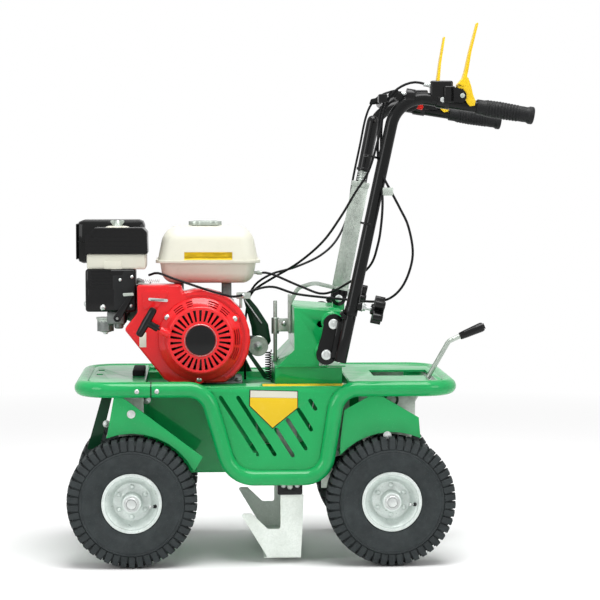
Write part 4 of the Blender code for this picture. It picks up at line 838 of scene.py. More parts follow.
@dataclass
class TubeFrame(Assembly):
    """Welded tube frame with its deck, guards, tower, carriers and fenders."""

    radius: float = 0.016
    half: float = 0.2
    height: float = 0.361
    bow_front: float = -0.241
    bow_joint: float = -0.1
    bow_corner: float = 0.06
    rear_bar: float = 0.509
    strip_top: float = 0.365
    deck_top: float = 0.375
    smoothness: int = 28

    def side_corners(self) -> list[tuple[float, float]]:
        """Corners of one side's centreline from the bow's joint to the rear bar, as (x, z)."""
        top = self.height
        low = 0.181
        return [(self.bow_joint, top), (0.011, top), (0.063, low), (0.25, low), (0.278, top),
                (self.rear_bar, top)]

    def build_tubes(self) -> None:
        """Bend the front bow and the side frame, and weld a bead round each joint."""
        start = self.bow_joint - GAP
        bow = [at(start, -self.half, self.height), at(self.bow_front, -self.half, self.height),
               at(self.bow_front, self.half, self.height), at(start, self.half, self.height)]
        path = filleted(bow, [0.0, self.bow_corner, self.bow_corner, 0.0], 12)
        self.fit(tube("front_bow_tube", path, self.radius, self.smoothness), Finish.GREEN, "front_bow")
        corners = self.side_corners()
        radii = [0.0, 0.05, 0.06, 0.048, 0.048, 0.06]
        near = [at(x, -self.half, z) for x, z in corners]
        far = [at(x, self.half, z) for x, z in reversed(corners)]
        path = filleted(near + far, radii + list(reversed(radii)), 10)
        self.fit(tube("side_frame_tube", path, self.radius, self.smoothness), Finish.GREEN, "side_frame")
        for side in Side:
            joint = at(self.bow_joint, side * self.half, self.height)
            bead = lathe(
                f"joint_seam_{side}", [(self.radius - 0.001, -0.0022), (self.radius + 0.0004, -0.0012),
                                       (self.radius + 0.0004, 0.0012), (self.radius - 0.001, 0.0022)],
                joint, (1, 0, 0), 32)
            self.fit(bead, Finish.DARK_GREEN)
            for number, x in enumerate((-0.088, -0.128)):
                seat = at(x, side * (self.half + self.radius - 0.0008), self.height - 0.002)
                self.screw(f"joint_screw_{side}_{number + 1}", seat, (0, side.value, 0), 0.0052)

    def build_deck(self) -> None:
        """Fold the deck's edges and lay the bare strip beside the tower."""
        self.fit(retraced("deck", "deck_sheet", 0.0012), Finish.GREEN, angle=25.0)
        top = self.strip_top
        self.fit(box("blank_strip", at(0.126, -0.182, top + 0.0002), at(0.292, -0.1425, top + 0.0009),
                     0.0002), Finish.YELLOW)
        for side in Side:
            y = side * self.half
            self.fit(
                tube(f"guard_lip_{side}", [at(-0.004, y, top), at(0.3, y, top)], 0.0019, 12), Finish.GREEN)
        self.fit(
            box(
                "front_stop_block", at(-0.142, -0.06, self.deck_top - 0.0005),
                at(-0.117, 0.06, self.deck_top + 0.012), 0.003, 3), Finish.BELT)

    def build_guards(self) -> None:
        """Soften the slotted guards and put the blank sign on the near one."""
        for side in Side:
            self.fit(retraced(f"side_guard_{side}", f"slotted_guard_{side}", 0.0004, 1), Finish.GREEN)
            corner = mm((70, 232), (112, 232), (112, 192), (100, 192), (84, 199), (73, 209))
            y = side * self.half
            corners = [plate("corner", outline, y - 0.0013, y + 0.0013)
                       for outline in (corner, [(0.312 - x, z) for x, z in corner])]
            self.fit(joined(f"guard_corners_{side}", *corners), Finish.GREEN)
        face = -self.half - 0.0015
        sign = mm((98.5, 360.5), (97.5, 327.5), (145, 280.5), (196.5, 322.5), (196.5, 357.5))
        band = mm((100.5, 359), (100, 345), (195, 343), (195, 356.2))
        field = mm((99.8, 344.7), (99.3, 328.3), (145, 283), (195, 323.2), (195, 342.7))
        self.fit(plate("sign_border", sign, face - 0.0008, face + 0.0002, 0.0002), Finish.BLACK_PLASTIC)
        self.fit(plate("sign_field", field, face - 0.0012, face - 0.0006, 0.0001), Finish.YELLOW)
        self.fit(plate("sign_band", band, face - 0.0012, face - 0.0006, 0.0001), Finish.TANK)

    def build_tower(self) -> None:
        """Fold the tower, seal it round its cross tubes, and add its flanges and a bolt."""
        self.fit(retraced("tower", "tower_sheet", 0.0014), Finish.GREEN, angle=28.0)
        for number, (x, z) in enumerate(((0.268, 0.493), (0.2536, 0.431))):
            for side in Side:
                y = side * 0.14
                self.fit(lathe(f"tube_weld_{number + 1}_{side}", mm((17.6, 0), (21.5, 0.3), (20.5, 2.4),
                                                                    (17.6, 4.2)), at(x, y, z),
                               (0, side.value, 0), 36), Finish.GREEN)
        for side in Side:
            flange = box(f"tower_flange_{side}", at(0.154, side * 0.1385, 0.4005),
                         at(0.297, side * 0.1445, 0.403), 0.0008)
            self.fit(flange, Finish.GREEN)
        self.bolt("tower_bolt_left", at(0.172, -0.125, 0.3995), UP, 0.006)

    def build_carriers(self) -> None:
        """Soften the carriers and fit the fenders' bolts."""
        for end in End:
            self.fit(retraced(f"{end}_axle_carrier", f"{end}_carrier", 0.0008), Finish.ZINC)
            for side in Side:
                self.fit(retraced(f"{end}_fender_{side}", f"{end}_mudguard_{side}", 0.0008), Finish.GREEN,
                         angle=25.0)
        for side in Side:
            out = (0, side.value, 0)
            face = side * (self.half + 0.0015)
            self.bolt(f"fender_bolt_rear_{side}", at(0.378, face, 0.266), out, 0.0058)
            self.bolt(f"fender_bolt_front_{side}", at(-0.14, face, 0.312), out, 0.0058)
            ring_face = side * 0.122
            self.fit(lathe(f"carrier_eye_{side}", mm((10.5, 0), (15.5, 0), (15.5, 3.5), (10.5, 3.5)),
                           at(0.393, ring_face, 0.33), out, 28, True), Finish.DARK_GREEN)

    def build(self) -> None:
        """Make the whole frame."""
        self.build_tubes()
        self.build_deck()
        self.build_guards()
        self.build_tower()
        self.build_carriers()


# Wheels

@dataclass
class Wheels(Assembly):
    """Pneumatic tyres with moulded lugs on dished rims, and the axles between them."""

    tyre_radius: float = 0.1325
    tyre_half: float = 0.044
    bead: float = 0.061
    track: float = 0.183
    axle_radius: float = 0.01
    axle_half: float = 0.2295
    shoulder_lugs: int = 46
    lug_offset: float = 3.9
    hub_bolts: int = 6

    def tyre_profile(self) -> list[tuple[float, float]]:
        """Section of the tyre from its outer bead over the tread's floor to its inner bead."""
        r, w, b = self.tyre_radius, self.tyre_half, self.bead
        half = [(b, w - 0.012), (b + 0.002, w - 0.0085), (b + 0.005, w - 0.0075), (b + 0.0065, w - 0.0062),
                (b + 0.012, w - 0.0032), (b + 0.019, w - 0.0012), (b + 0.03, w - 0.0002), (b + 0.0385, w),
                (b + 0.0395, w - 0.0009), (b + 0.0415, w - 0.001), (b + 0.0425, w - 0.0004),
                (b + 0.044, w - 0.0016), (b + 0.0465, w - 0.0068), (r - 0.0155, w - 0.0084),
                (r - 0.0105, w - 0.013), (r - 0.008, w - 0.019)]
        return half + [(r - 0.0065, 0.0)] + [(radius, -along) for radius, along in reversed(half)]

    def lug(self, name: str, centre: Vector, side: Side) -> Piece:
        """One shoulder lug of the tread, at the top of the tyre."""
        r, w = self.tyre_radius, self.tyre_half
        inner, outer = side * 0.0105, side * (w - 0.0026)
        piece = box(
            name, centre + Vector((-0.0067, inner, 0.1066)), centre + Vector((0.0067, outer, r - 0.0002)))
        for vertex in piece.data.vertices:
            place = vertex.co - centre
            if place.z > 0.12:
                vertex.co.x = centre.x + place.x * 0.86
                if abs(place.y) > 0.6 * w:
                    vertex.co.y -= side * 0.0042
                    vertex.co.z -= 0.003
            elif abs(place.y) > 0.6 * w:
                vertex.co.x = centre.x + place.x * 0.97
        return soften(piece, 0.001, 1)

    def tread(self, name: str, centre: Vector) -> list[Piece]:
        """Shoulder lugs on both edges, and two rows of small blocks round the crown."""
        blocks: list[Piece] = []
        patterns = [self.lug(f"{name}_lug", centre, side) for side in Side]
        for side in Side:
            y = centre.y + side * 0.0055
            block = box("block", (centre.x - 0.0048, y - 0.0042, centre.z + self.tyre_radius - 0.0085),
                        (centre.x + 0.0048, y + 0.0042, centre.z + self.tyre_radius - 0.0002), 0.0008, 1)
            patterns.append(turned(block, radians(1.9), centre))
        for pattern, offset in zip(patterns, (0.0, self.lug_offset, 0.0, 0.0)):
            blocks += spun(pattern, self.shoulder_lugs, centre, offset)
        return blocks

    def build_wheel(self, end: End, side: Side) -> None:
        """Mould a tyre, press its rim, and fit the hub's bolts and the valve."""
        centre = Vector(JOINTS[end.value]["pos_m"])
        centre.y = side * self.track
        out = Vector((0.0, side.value, 0.0))
        tag = f"{end}_{side}"
        carcass = lathe(f"tyre_{tag}", self.tyre_profile(), centre, out, 72, True)
        self.fit(joined(f"tyre_{tag}", carcass, *self.tread(tag, centre)), Finish.TYRE,
                 f"{end}_tyre_{side}", body=end.value, angle=30.0)
        lip = 1000.0 * self.bead - 0.6
        face = mm(
            (10.5, 41.2), (17, 41.2), (18.6, 40.4), (19, 39), (19.6, 16), (21.5, 11.2), (24.5, 9.2),
            (34.5, 7.2), (38.5, 8.2), (42, 13), (45, 21.5), (48, 27), (51.5, 30), (53, 31.2), (53.8, 34.5),
            (54.5, 35.8), (lip - 1, 35.8), (lip + 0.4, 35), (lip + 0.4, 33), (lip - 1.2, 30.5),
            (lip - 1.2, -34), (lip - 6, -34), (48, -10), (19.6, -6), (19, -40), (10.5, -40))
        self.fit(lathe(f"rim_{tag}", face, centre, out, 64, True), Finish.RIM, f"{end}_rim_{side}",
                 body=end.value, angle=32.0)
        dome = mm((0, -1), (5.2, -1), (5.2, 1.8), (4, 3.4), (1.8, 4.2), (0, 4.3))
        studs = []
        for number in range(self.hub_bolts):
            spoke = heading(30.0 + 360.0 * number / self.hub_bolts)
            studs.append(lathe("stud", dome, centre + spoke * 0.0305 + out * 0.008, out, 20))
        self.fit(joined(f"rim_studs_{tag}", *studs), Finish.RIM, body=end.value)
        lean = heading(-8.0)
        foot = centre + lean * 0.049 + out * 0.026
        neck = centre + lean * 0.042 + out * 0.0345
        tip = centre + lean * 0.0355 + out * 0.0415
        self.fit(rod(f"valve_{tag}", foot, neck, 0.0042, 16, 0.0004, 0.003), Finish.BLACK_PLASTIC,
                 body=end.value)
        self.fit(rod(f"valve_cap_{tag}", neck, tip, 0.0034, 16, 0.0006), Finish.STEEL, body=end.value)
        section = mm((10.4, 0), (16, 0), (16, 1.2), (13.4, 1.4), (13.4, 3.8), (12.2, 4.8), (10.4, 4.8))
        self.fit(lathe(f"hub_nut_{tag}", section, centre + out * 0.0413, out, 36, True), Finish.STEEL,
                 body=end.value)

    def build(self) -> None:
        """Make both axles and all four wheels."""
        for end in End:
            axis_point = Vector(JOINTS[end.value]["pos_m"])
            ends = [axis_point + Vector((0.0, sign * self.axle_half, 0.0)) for sign in (-1.0, 1.0)]
            self.fit(rod(f"{end}_shaft", ends[0], ends[1], self.axle_radius, 32, 0.0015), Finish.STEEL,
                     f"{end}_axle", body=end.value)
            for side in Side:
                self.build_wheel(end, side)


# Engine

@dataclass
class Engine(Assembly):
    """Horizontal-shaft petrol engine: shroud, starter, tank, air cleaner, carburettor and muffler."""

    shroud_face: float = -0.14
    cover_face: float = -0.168
    ring_radius: float = 0.0665
    cover_radius: float = 0.086
    slot_inner: float = 0.0385
    slot_outer: float = 0.0615
    slots: int = 30
    fan_blades: int = 20
    pull_lean: float = 29.4
    tank_flange: float = 0.615
    tank_top: float = 0.687

    def centre(self, y: float) -> Vector:
        """Point on the crankshaft's line at a distance across the machine."""
        return Vector((CRANK.x, y, CRANK.z))

    def build_block(self) -> None:
        """Soften the crankcase and dress its near foot, and show the dark fan behind the slots."""
        self.fit(retraced("crankcase", "engine_block", 0.0008, 1), Finish.CAST, angle=30.0)
        for x in (-0.06, 0.03, 0.078):
            self.bolt(f"foot_bolt_{round(1000 * x) + 100}", at(x, -0.062, 0.366), UP, 0.0062)
        fan = lathe(
            "flywheel_fan", mm((0, 0), (12.5, 0), (12.5, -16), (20, -18), (58, -18), (62, -14), (64, -14),
                               (64, -40), (20, -45), (11.9, -50), (11.9, -282), (0, -282)),
            self.centre(-0.1335), NEAR, 48)
        hub = self.centre(-0.1335)
        blade = box("blade", hub + Vector((0.03, 0.0165, -0.0012)), hub + Vector((0.0585, 0.003, 0.0012)))
        blades = spun(blade, self.fan_blades, self.centre(0.0))
        self.fit(joined("flywheel_fan", fan, *blades), Finish.BLACK_PLASTIC, "flywheel", body="crank")

    def build_shroud(self) -> None:
        """Round the shroud's pressed edges and add its louvre, its side plate and its rim, with a black
        strip of painted shade in the lever slot.
        """
        self.fit(retraced("fan_shroud", "shroud_shell", 0.0035, 4), Finish.RED, angle=40.0)
        face = self.shroud_face
        swage = arc(HUB, 0.0975, -58.0, 107.0, 40) + arc(HUB, 0.0915, 107.0, -58.0, 40)
        self.fit(plate("shroud_swage", swage, face - 0.0028, face + 0.001, 0.0012), Finish.RED)
        pad = rounded((-117, 558.5, 8), (-60, 558.5, 6), (-88, 523, 10), (-117, 518, 8), steps=5)
        self.fit(plate("shroud_pad", pad, face - 0.002, face + 0.001, 0.0009), Finish.RED)
        slot = rounded((-106, 543.5, 2.8), (-66, 540.5, 2.8), (-66, 534.5, 2.8), (-106, 537.5, 2.8))
        self.fit(plate("lever_slot_frame", slot, face - 0.0034, face - 0.001, 0.0008), Finish.STEEL)
        # A thin black strip over the solid slot frame: painted shade that stands for the dark opening of
        # the lever slot.
        self.fit(box("lever_slot_gap", at(-0.101, face - 0.0038, 0.538), at(-0.074, face - 0.003, 0.5394)),
                 Finish.BLACK_PLASTIC)
        self.fit(
            box("blank_label_upright", at(-0.1245, face - 0.0008, 0.442), at(-0.1105, face + 0.0004, 0.472),
                0.0003), Finish.TANK)

    def vent(self, radius: float, start: float, end: float) -> Piece:
        """Cutter for one curved vent of the starter cover."""
        half = 0.0011
        outline = arc(HUB, radius + half, start, end, 10) + arc(HUB, radius - half, end, start, 10)
        return plate("vent", outline, self.cover_face - 0.01, self.shroud_face + 0.002)

    def build_cover(self) -> None:
        """Spin the starter cover, cut its vents, and set its spokes, blank centre and rope guide."""
        seat = self.shroud_face - GAP
        face = self.cover_face
        rise = seat - face
        rim, edge = self.ring_radius, self.cover_radius
        section = [
            (self.slot_outer, rise + 0.0005), (rim - 0.0025, rise + 0.0016), (rim, rise + 0.0012),
            (rim + 0.0022, rise - 0.0008), (rim + 0.0035, rise - 0.005), (edge - 0.0065, 0.0115),
            (edge - 0.0015, 0.0085), (edge, 0.006), (edge, 0.0), (edge - 0.0025, 0.0),
            (edge - 0.003, 0.0062), (edge - 0.0075, 0.009), (rim + 0.0012, rise - 0.007),
            (rim - 0.001, rise - 0.003), (self.slot_outer, rise - 0.0028)]
        cover = lathe("starter_cover", section, self.centre(seat), NEAR, 96, True)
        groups = ((102.0, 112.0), (117.0, 133.0), (62.0, 78.0), (42.0, 57.0), (-8.0, 16.0), (-32.0, -12.0))
        vents = [
            self.vent(radius, first, last) for first, last in groups for radius in (0.0715, 0.0757, 0.0799)]
        carved(cover, joined("vents", *vents))
        pieces = [cover, lathe("hub", [(0.0, rise + 0.0012), (0.0325, rise + 0.0012),
                                       (self.slot_inner, rise - 0.0002), (self.slot_inner, rise - 0.003),
                                       (0.0, rise - 0.003)], self.centre(seat), NEAR, 64)]
        pitch = 360.0 / self.slots
        inner, outer = self.slot_inner - 0.0006, self.slot_outer + 0.0006
        spoke_outline = (arc(HUB, inner, 0.34 * pitch, -0.22 * pitch, 2)
                         + arc(HUB, outer, -0.31 * pitch, 0.25 * pitch, 2))
        spoke = plate("spoke", spoke_outline, face + 0.0026, face - 0.0004, 0.0005)
        pieces += spun(spoke, self.slots, self.centre(0.0))
        for angle in (146.0, 31.0, -92.0):
            foot = self.centre(seat) + heading(angle) * 0.081
            pieces.append(rod("ear", foot + Vector((0, 0.0004, 0)), foot - Vector((0, 0.0088, 0)), 0.0098,
                              28, 0.0016))
            self.screw(f"cover_screw_{round(angle) + 100}", foot - Vector((0, 0.0086, 0)), NEAR, 0.0064)
        pull = heading(180.0 - self.pull_lean)
        mouth = at(-0.082, -0.185, 0.4814)
        pieces.append(rod("guide", mouth - pull * 0.022, mouth, 0.008, 28, 0.0015, 0.0072))
        pieces.append(rod("arm", mouth - pull * 0.013 + Vector((0.0, 0.002, 0.0)),
                          mouth - pull * 0.015 + Vector((0.0, 0.035, 0.0)), 0.0085, 24))
        self.fit(joined("starter_cover", *pieces), Finish.RED, "recoil_cover", angle=40.0)
        self.fit(lathe("blank_centre_disc", mm((0, 2.4), (28.5, 2.2), (30.5, 1.2), (30.5, -0.5), (0, -0.5)),
                       self.centre(face - 0.001), NEAR, 64), Finish.BLACK_PLASTIC)
        self.fit(lathe("centre_trim", mm((30.8, -0.4), (32.2, 0.9), (33.3, -0.4)),
                       self.centre(face - 0.001), NEAR, 64, True), Finish.STEEL)
        self.build_starter_grip(mouth, pull)

    def build_starter_grip(self, mouth: Vector, pull: Vector) -> None:
        """Mould the starter's tee grip with its neck, and the rope that runs into the guide."""
        reach = (-0.109 + 0.082) / pull.x
        core = mouth + pull * reach
        bar_axis = Vector((-pull.z, 0.0, pull.x))
        half = 0.0325
        section = [(0.0, -half), (0.0045, -half + 0.0002), (0.007, -half + 0.002), (0.008, -half + 0.0055),
                   (0.0082, -0.012), (0.0088, 0.0), (0.0082, 0.012), (0.008, half - 0.0055),
                   (0.007, half - 0.002), (0.0045, half - 0.0002), (0.0, half)]
        bar = lathe("bar", section, core, bar_axis, 28)
        neck = lathe("neck", [(0.0, 0.002), (0.0085, 0.0), (0.0076, -0.007), (0.0068, -0.014),
                              (0.0074, -reach + 0.0065), (0.0066, -reach + 0.0035), (0.0, -reach + 0.0035)],
                     core, pull, 28)
        self.fit(
            joined("starter_handle", bar, neck), Finish.BLACK_PLASTIC, "starter_grip", body="starter_grip")
        rope = rod("starter_rope", mouth - pull * 0.014, mouth + pull * 0.006, 0.0021, 12)
        self.paint(rope, Finish.SHEATH)
        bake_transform(rope)

    def build_tank(self) -> None:
        """Draw the tank's two tapered shells, its seam flange, its neck and its blank label."""
        flange = self.tank_flange
        low, high = at(-0.0885, -0.102, flange - 0.0005), at(0.1205, 0.072, self.tank_top)
        upper = self.tapered_shell(box("tank_upper", low, high), True, (0.86, 0.84), 0.03)
        lower = box("tank_lower", at(-0.0835, -0.097, 0.5695), at(0.1155, 0.067, flange + 0.0005))
        lower = self.tapered_shell(lower, False, (0.93, 0.92), 0.022)
        plan = rounded((-92, -105.5, 26), (124, -105.5, 26), (124, 75.5, 26), (-92, 75.5, 26), steps=8)
        rim = sheet("tank_rim", plan, flange - 0.003, flange + 0.003, 0.0014)
        neck = lathe("neck", [(0.0, self.tank_top + 0.0022), (0.0262, self.tank_top + 0.0022),
                              (0.0268, self.tank_top + 0.0012), (0.0275, self.tank_top - 0.002),
                              (0.032, self.tank_top - 0.004), (0.0, self.tank_top - 0.004)],
                     at(0.0105, -0.015, 0.0), UP, 48)
        tank = joined("fuel_tank_shell", upper, lower, rim, neck)
        self.fit(tank, Finish.TANK, "fuel_tank", angle=50.0)
        label = box("blank_label_tank", at(-0.033, -0.1035, 0.6192), at(0.066, -0.1025, 0.6352))

        def refine() -> None:
            """Cut the label's face into small ones."""
            bpy.ops.mesh.subdivide(number_cuts=6)

        edit(label, refine)
        label = applied(label, "SHRINKWRAP", target=tank, offset=0.0005, wrap_method="NEAREST_SURFACEPOINT",
                        wrap_mode="OUTSIDE_SURFACE")
        self.fit(label, Finish.YELLOW)

    def tapered_shell(self, shell: Piece, upwards: bool, shrink: Point, radius: float) -> Piece:
        """Draw in one end of a tank half and round all its edges but those at the seam.

        Args:
            shell: The half, still a plain box.
            upwards: Whether the half closes at its top.
            shrink: Width and depth of the closed end as shares of the seam's.
            radius: Radius of the rounded edges.

        Returns:
            The finished half.
        """
        mesh = shell.data
        heights = [vertex.co.z for vertex in mesh.vertices]
        outer = max(heights) if upwards else min(heights)

        def at_the_end(*indices: int) -> bool:
            """Whether these vertices lie on the end face."""
            return all(abs(mesh.vertices[index].co.z - outer) < 1e-6 for index in indices)

        def work() -> None:
            """Draw in the end face, then round the edges that reach it."""
            bpy.ops.mesh.select_mode(type="FACE")
            bpy.ops.mesh.select_all(action="DESELECT")
            bpy.ops.object.mode_set(mode="OBJECT")
            for face in mesh.polygons:
                face.select = at_the_end(*face.vertices)
            bpy.ops.object.mode_set(mode="EDIT")
            bpy.ops.transform.resize(value=(*shrink, 1.0))
            bpy.ops.mesh.select_mode(type="EDGE")
            bpy.ops.mesh.select_all(action="DESELECT")
            bpy.ops.object.mode_set(mode="OBJECT")
            for edge in mesh.edges:
                edge.select = at_the_end(edge.vertices[0]) or at_the_end(edge.vertices[1])
            bpy.ops.object.mode_set(mode="EDIT")
            bpy.ops.mesh.bevel(offset=radius, segments=8, profile=0.5, affect="EDGES", clamp_overlap=True)

        return edit(shell, work)

    def build_cap(self) -> None:
        """Press the scalloped fuel cap."""
        lobes = 10
        outline = [((0.0335 + 0.0011 * cos(lobes * a)) * cos(a) + 0.0105,
                    (0.0335 + 0.0011 * cos(lobes * a)) * sin(a) - 0.015)
                   for a in [2.0 * pi * step / 120 for step in range(120)]]
        base = self.tank_top + 0.0012
        skirt = sheet("cap", outline, base, base + 0.0082, 0.0016)
        crown = lathe("crown", mm((0, 9.8), (24, 9.4), (26.2, 8.6), (27.5, 7), (0, 7)),
                      at(0.0105, -0.015, base), UP, 48)
        self.fit(joined("fuel_cap_shell", skirt, crown), Finish.ZINC, "fuel_cap", body="fuel_cap")

    def build_air_cleaner(self) -> None:
        """Mould the air cleaner's grooved cover, its pale band, its ribbed body and its wing nut."""
        outline = rounded((-235, 632.3, 0), (-108, 632.3, 0), (-109, 676, 6), (-118, 685, 6),
                          (-216, 685, 8), (-235, 668, 8))
        cover = plate("cleaner_cover", outline, -0.12, -0.01)
        grooves = [box("groove", at(-0.24, -0.1205, z - 0.0007), at(-0.1, -0.1185, z + 0.0007))
                   for z in (0.648, 0.657)]
        pocket = plate(
            "pocket", mm((-224, 665.5), (-116.5, 665.5), (-116.5, 675.5), (-122, 681), (-214, 681)), -0.125,
            -0.1178)
        carved(cover, *grooves, pocket)
        soften(cover, 0.003, 3)
        self.fit(cover, Finish.BLACK_PLASTIC, "air_cleaner_cover")
        band = box("cleaner_band", at(-0.232, -0.117, 0.6), at(-0.111, -0.013, 0.6325), 0.005, 3)
        boss = box("boss", at(-0.197, -0.1185, 0.6005), at(-0.16, -0.114, 0.618), 0.002)
        self.fit(joined("cleaner_band", band, boss), Finish.TANK)
        pieces = [box("cleaner_body", at(-0.235, -0.12, 0.513), at(-0.132, -0.0525, 0.601), 0.006, 3)]
        for number in range(6):
            z = 0.5655 + 0.0062 * number
            pieces.append(box("rib", at(-0.224, -0.1209, z), at(-0.182, -0.119, z + 0.003), 0.0008))
        pieces.append(box("panel", at(-0.229, -0.1208, 0.5195), at(-0.176, -0.119, 0.56), 0.0012))
        self.fit(joined("cleaner_body", *pieces), Finish.BLACK_PLASTIC, "air_cleaner_body")
        self.screw("cleaner_screw", at(-0.1995, -0.1212, 0.5225), NEAR, 0.0062)
        self.screw("cleaner_side_screw", at(-0.2352, -0.105, 0.529), (-1, 0, 0), 0.0058)
        self.fit(lathe("wing_washer", mm((0, 3), (17, 3), (24.5, 1), (25, 0), (0, 0)),
                       at(-0.171, -0.065, 0.6848), UP, 40), Finish.TANK)
        nut = lathe(
            "nut", mm((0, 12), (4.5, 12), (6, 10), (8.8, 0), (0, 0)), at(-0.171, -0.065, 0.6876), UP, 24)
        wing = plate(
            "wing", rounded((-179.5, 688, 0), (-162.5, 688, 0), (-154, 700, 3), (-164, 700, 3),
                            (-171, 693, 4), (-178, 700, 3), (-188, 700, 3)), -0.0665, -0.0635, 0.0006)
        self.fit(joined("wing_nut", nut, wing), Finish.ZINC)

    def build_carburettor(self) -> None:
        """Dress the carburettor with its bowl, drain nut, filter cup, gasket and levers."""
        self.fit(retraced("carburettor", "carburettor_body", 0.0006, 1), Finish.CAST)
        self.fit(lathe("float_bowl", mm((0, -30), (12, -30), (15, -27), (17.8, -4), (19.5, -3), (19.5, 0),
                                        (0, 0)), at(-0.196, -0.078, 0.4995), UP, 36), Finish.ZINC)
        self.bolt("bowl_nut", at(-0.196, -0.078, 0.4698), (0, 0, -1), 0.0055)
        self.fit(lathe("filter_cup", mm((0, -24), (7, -24), (9.5, -21.5), (10.8, -3), (11.8, 0), (0, 0)),
                       at(-0.168, -0.086, 0.5005), UP, 28), Finish.CAST)
        self.fit(
            box("manifold_gasket", at(-0.156, -0.092, 0.488), at(-0.153, -0.04, 0.54), 0.0008), Finish.BELT)
        self.fit(retraced("choke_lever", "choke_handle", 0.001), Finish.BLACK_PLASTIC, body="choke_lever")
        tab = rounded((-159, 552, 2), (-137, 553, 2), (-135, 547, 2), (-157, 545.5, 2))
        self.fit(plate("fuel_valve_lever", tab, -0.1275, -0.1255, 0.0005), Finish.ZINC)
        cover = rounded((-179, 517, 3), (-134.5, 517, 3), (-134.5, 596, 3), (-156, 596, 3), (-160, 588, 3),
                        (-179, 588, 3))
        self.fit(plate("choke_cover", cover, -0.1207, -0.119, 0.0005), Finish.GRIP)
        for number, (x, z) in enumerate(((-0.164, 0.579), (-0.142, 0.526), (-0.14, 0.585))):
            self.screw(f"choke_cover_screw_{number + 1}", at(x, -0.1203, z), NEAR, 0.0036)
        arm_outline = rounded(
            (-127, 574, 3), (-90, 566, 3), (-76, 556, 3), (-82, 550, 3), (-94, 559, 3), (-128, 565, 3))
        self.fit(plate("governor_arm", arm_outline, -0.104, -0.102, 0.0004), Finish.ZINC)
        self.fit(tube("throttle_link", filleted([at(-0.122, -0.106, 0.57), at(-0.146, -0.106, 0.566),
                                                 at(-0.146, -0.106, 0.54)], [0.0, 0.006, 0.0], 6), 0.0011,
                      10), Finish.STEEL)
        self.fit(tube("governor_spring", [at(-0.122 + 0.0006 * step, -0.1 + 0.0028 * cos(0.9 * step), 0.5755
                                             + 0.0028 * sin(0.9 * step)) for step in range(66)], 0.0004, 6),
                 Finish.STEEL)

    def build_muffler(self) -> None:
        """Soften the muffler's can and set the slotted guard over its outer face."""
        self.fit(retraced("muffler", "muffler_can", 0.002, 2), Finish.BLACK, angle=40.0)
        guard = box("guard", at(-0.262, 0.018, 0.615), at(-0.2588, 0.112, 0.69), 0.0012)
        cutters = [box("slot", at(-0.27, y, 0.628), at(-0.25, y + 0.006, 0.677))
                   for y in (0.03, 0.044, 0.058, 0.072, 0.086, 0.098)]
        carved(guard, joined("slots", *cutters))
        self.fit(guard, Finish.BLACK)
        seam = tube("muffler_seam", filleted([at(-0.2585, 0.011, 0.6525), at(-0.1185, 0.011, 0.6525),
                                              at(-0.1185, 0.119, 0.6525), at(-0.2585, 0.119, 0.6525)],
                                             [0.011] * 4, 6, True), 0.0012, 8, True)
        self.fit(seam, Finish.BLACK)

    def build(self) -> None:
        """Make the whole engine."""
        self.build_block()
        self.build_shroud()
        self.build_cover()
        self.build_tank()
        self.build_cap()
        self.build_air_cleaner()
        self.build_carburettor()
        self.build_muffler()


# Handlebar

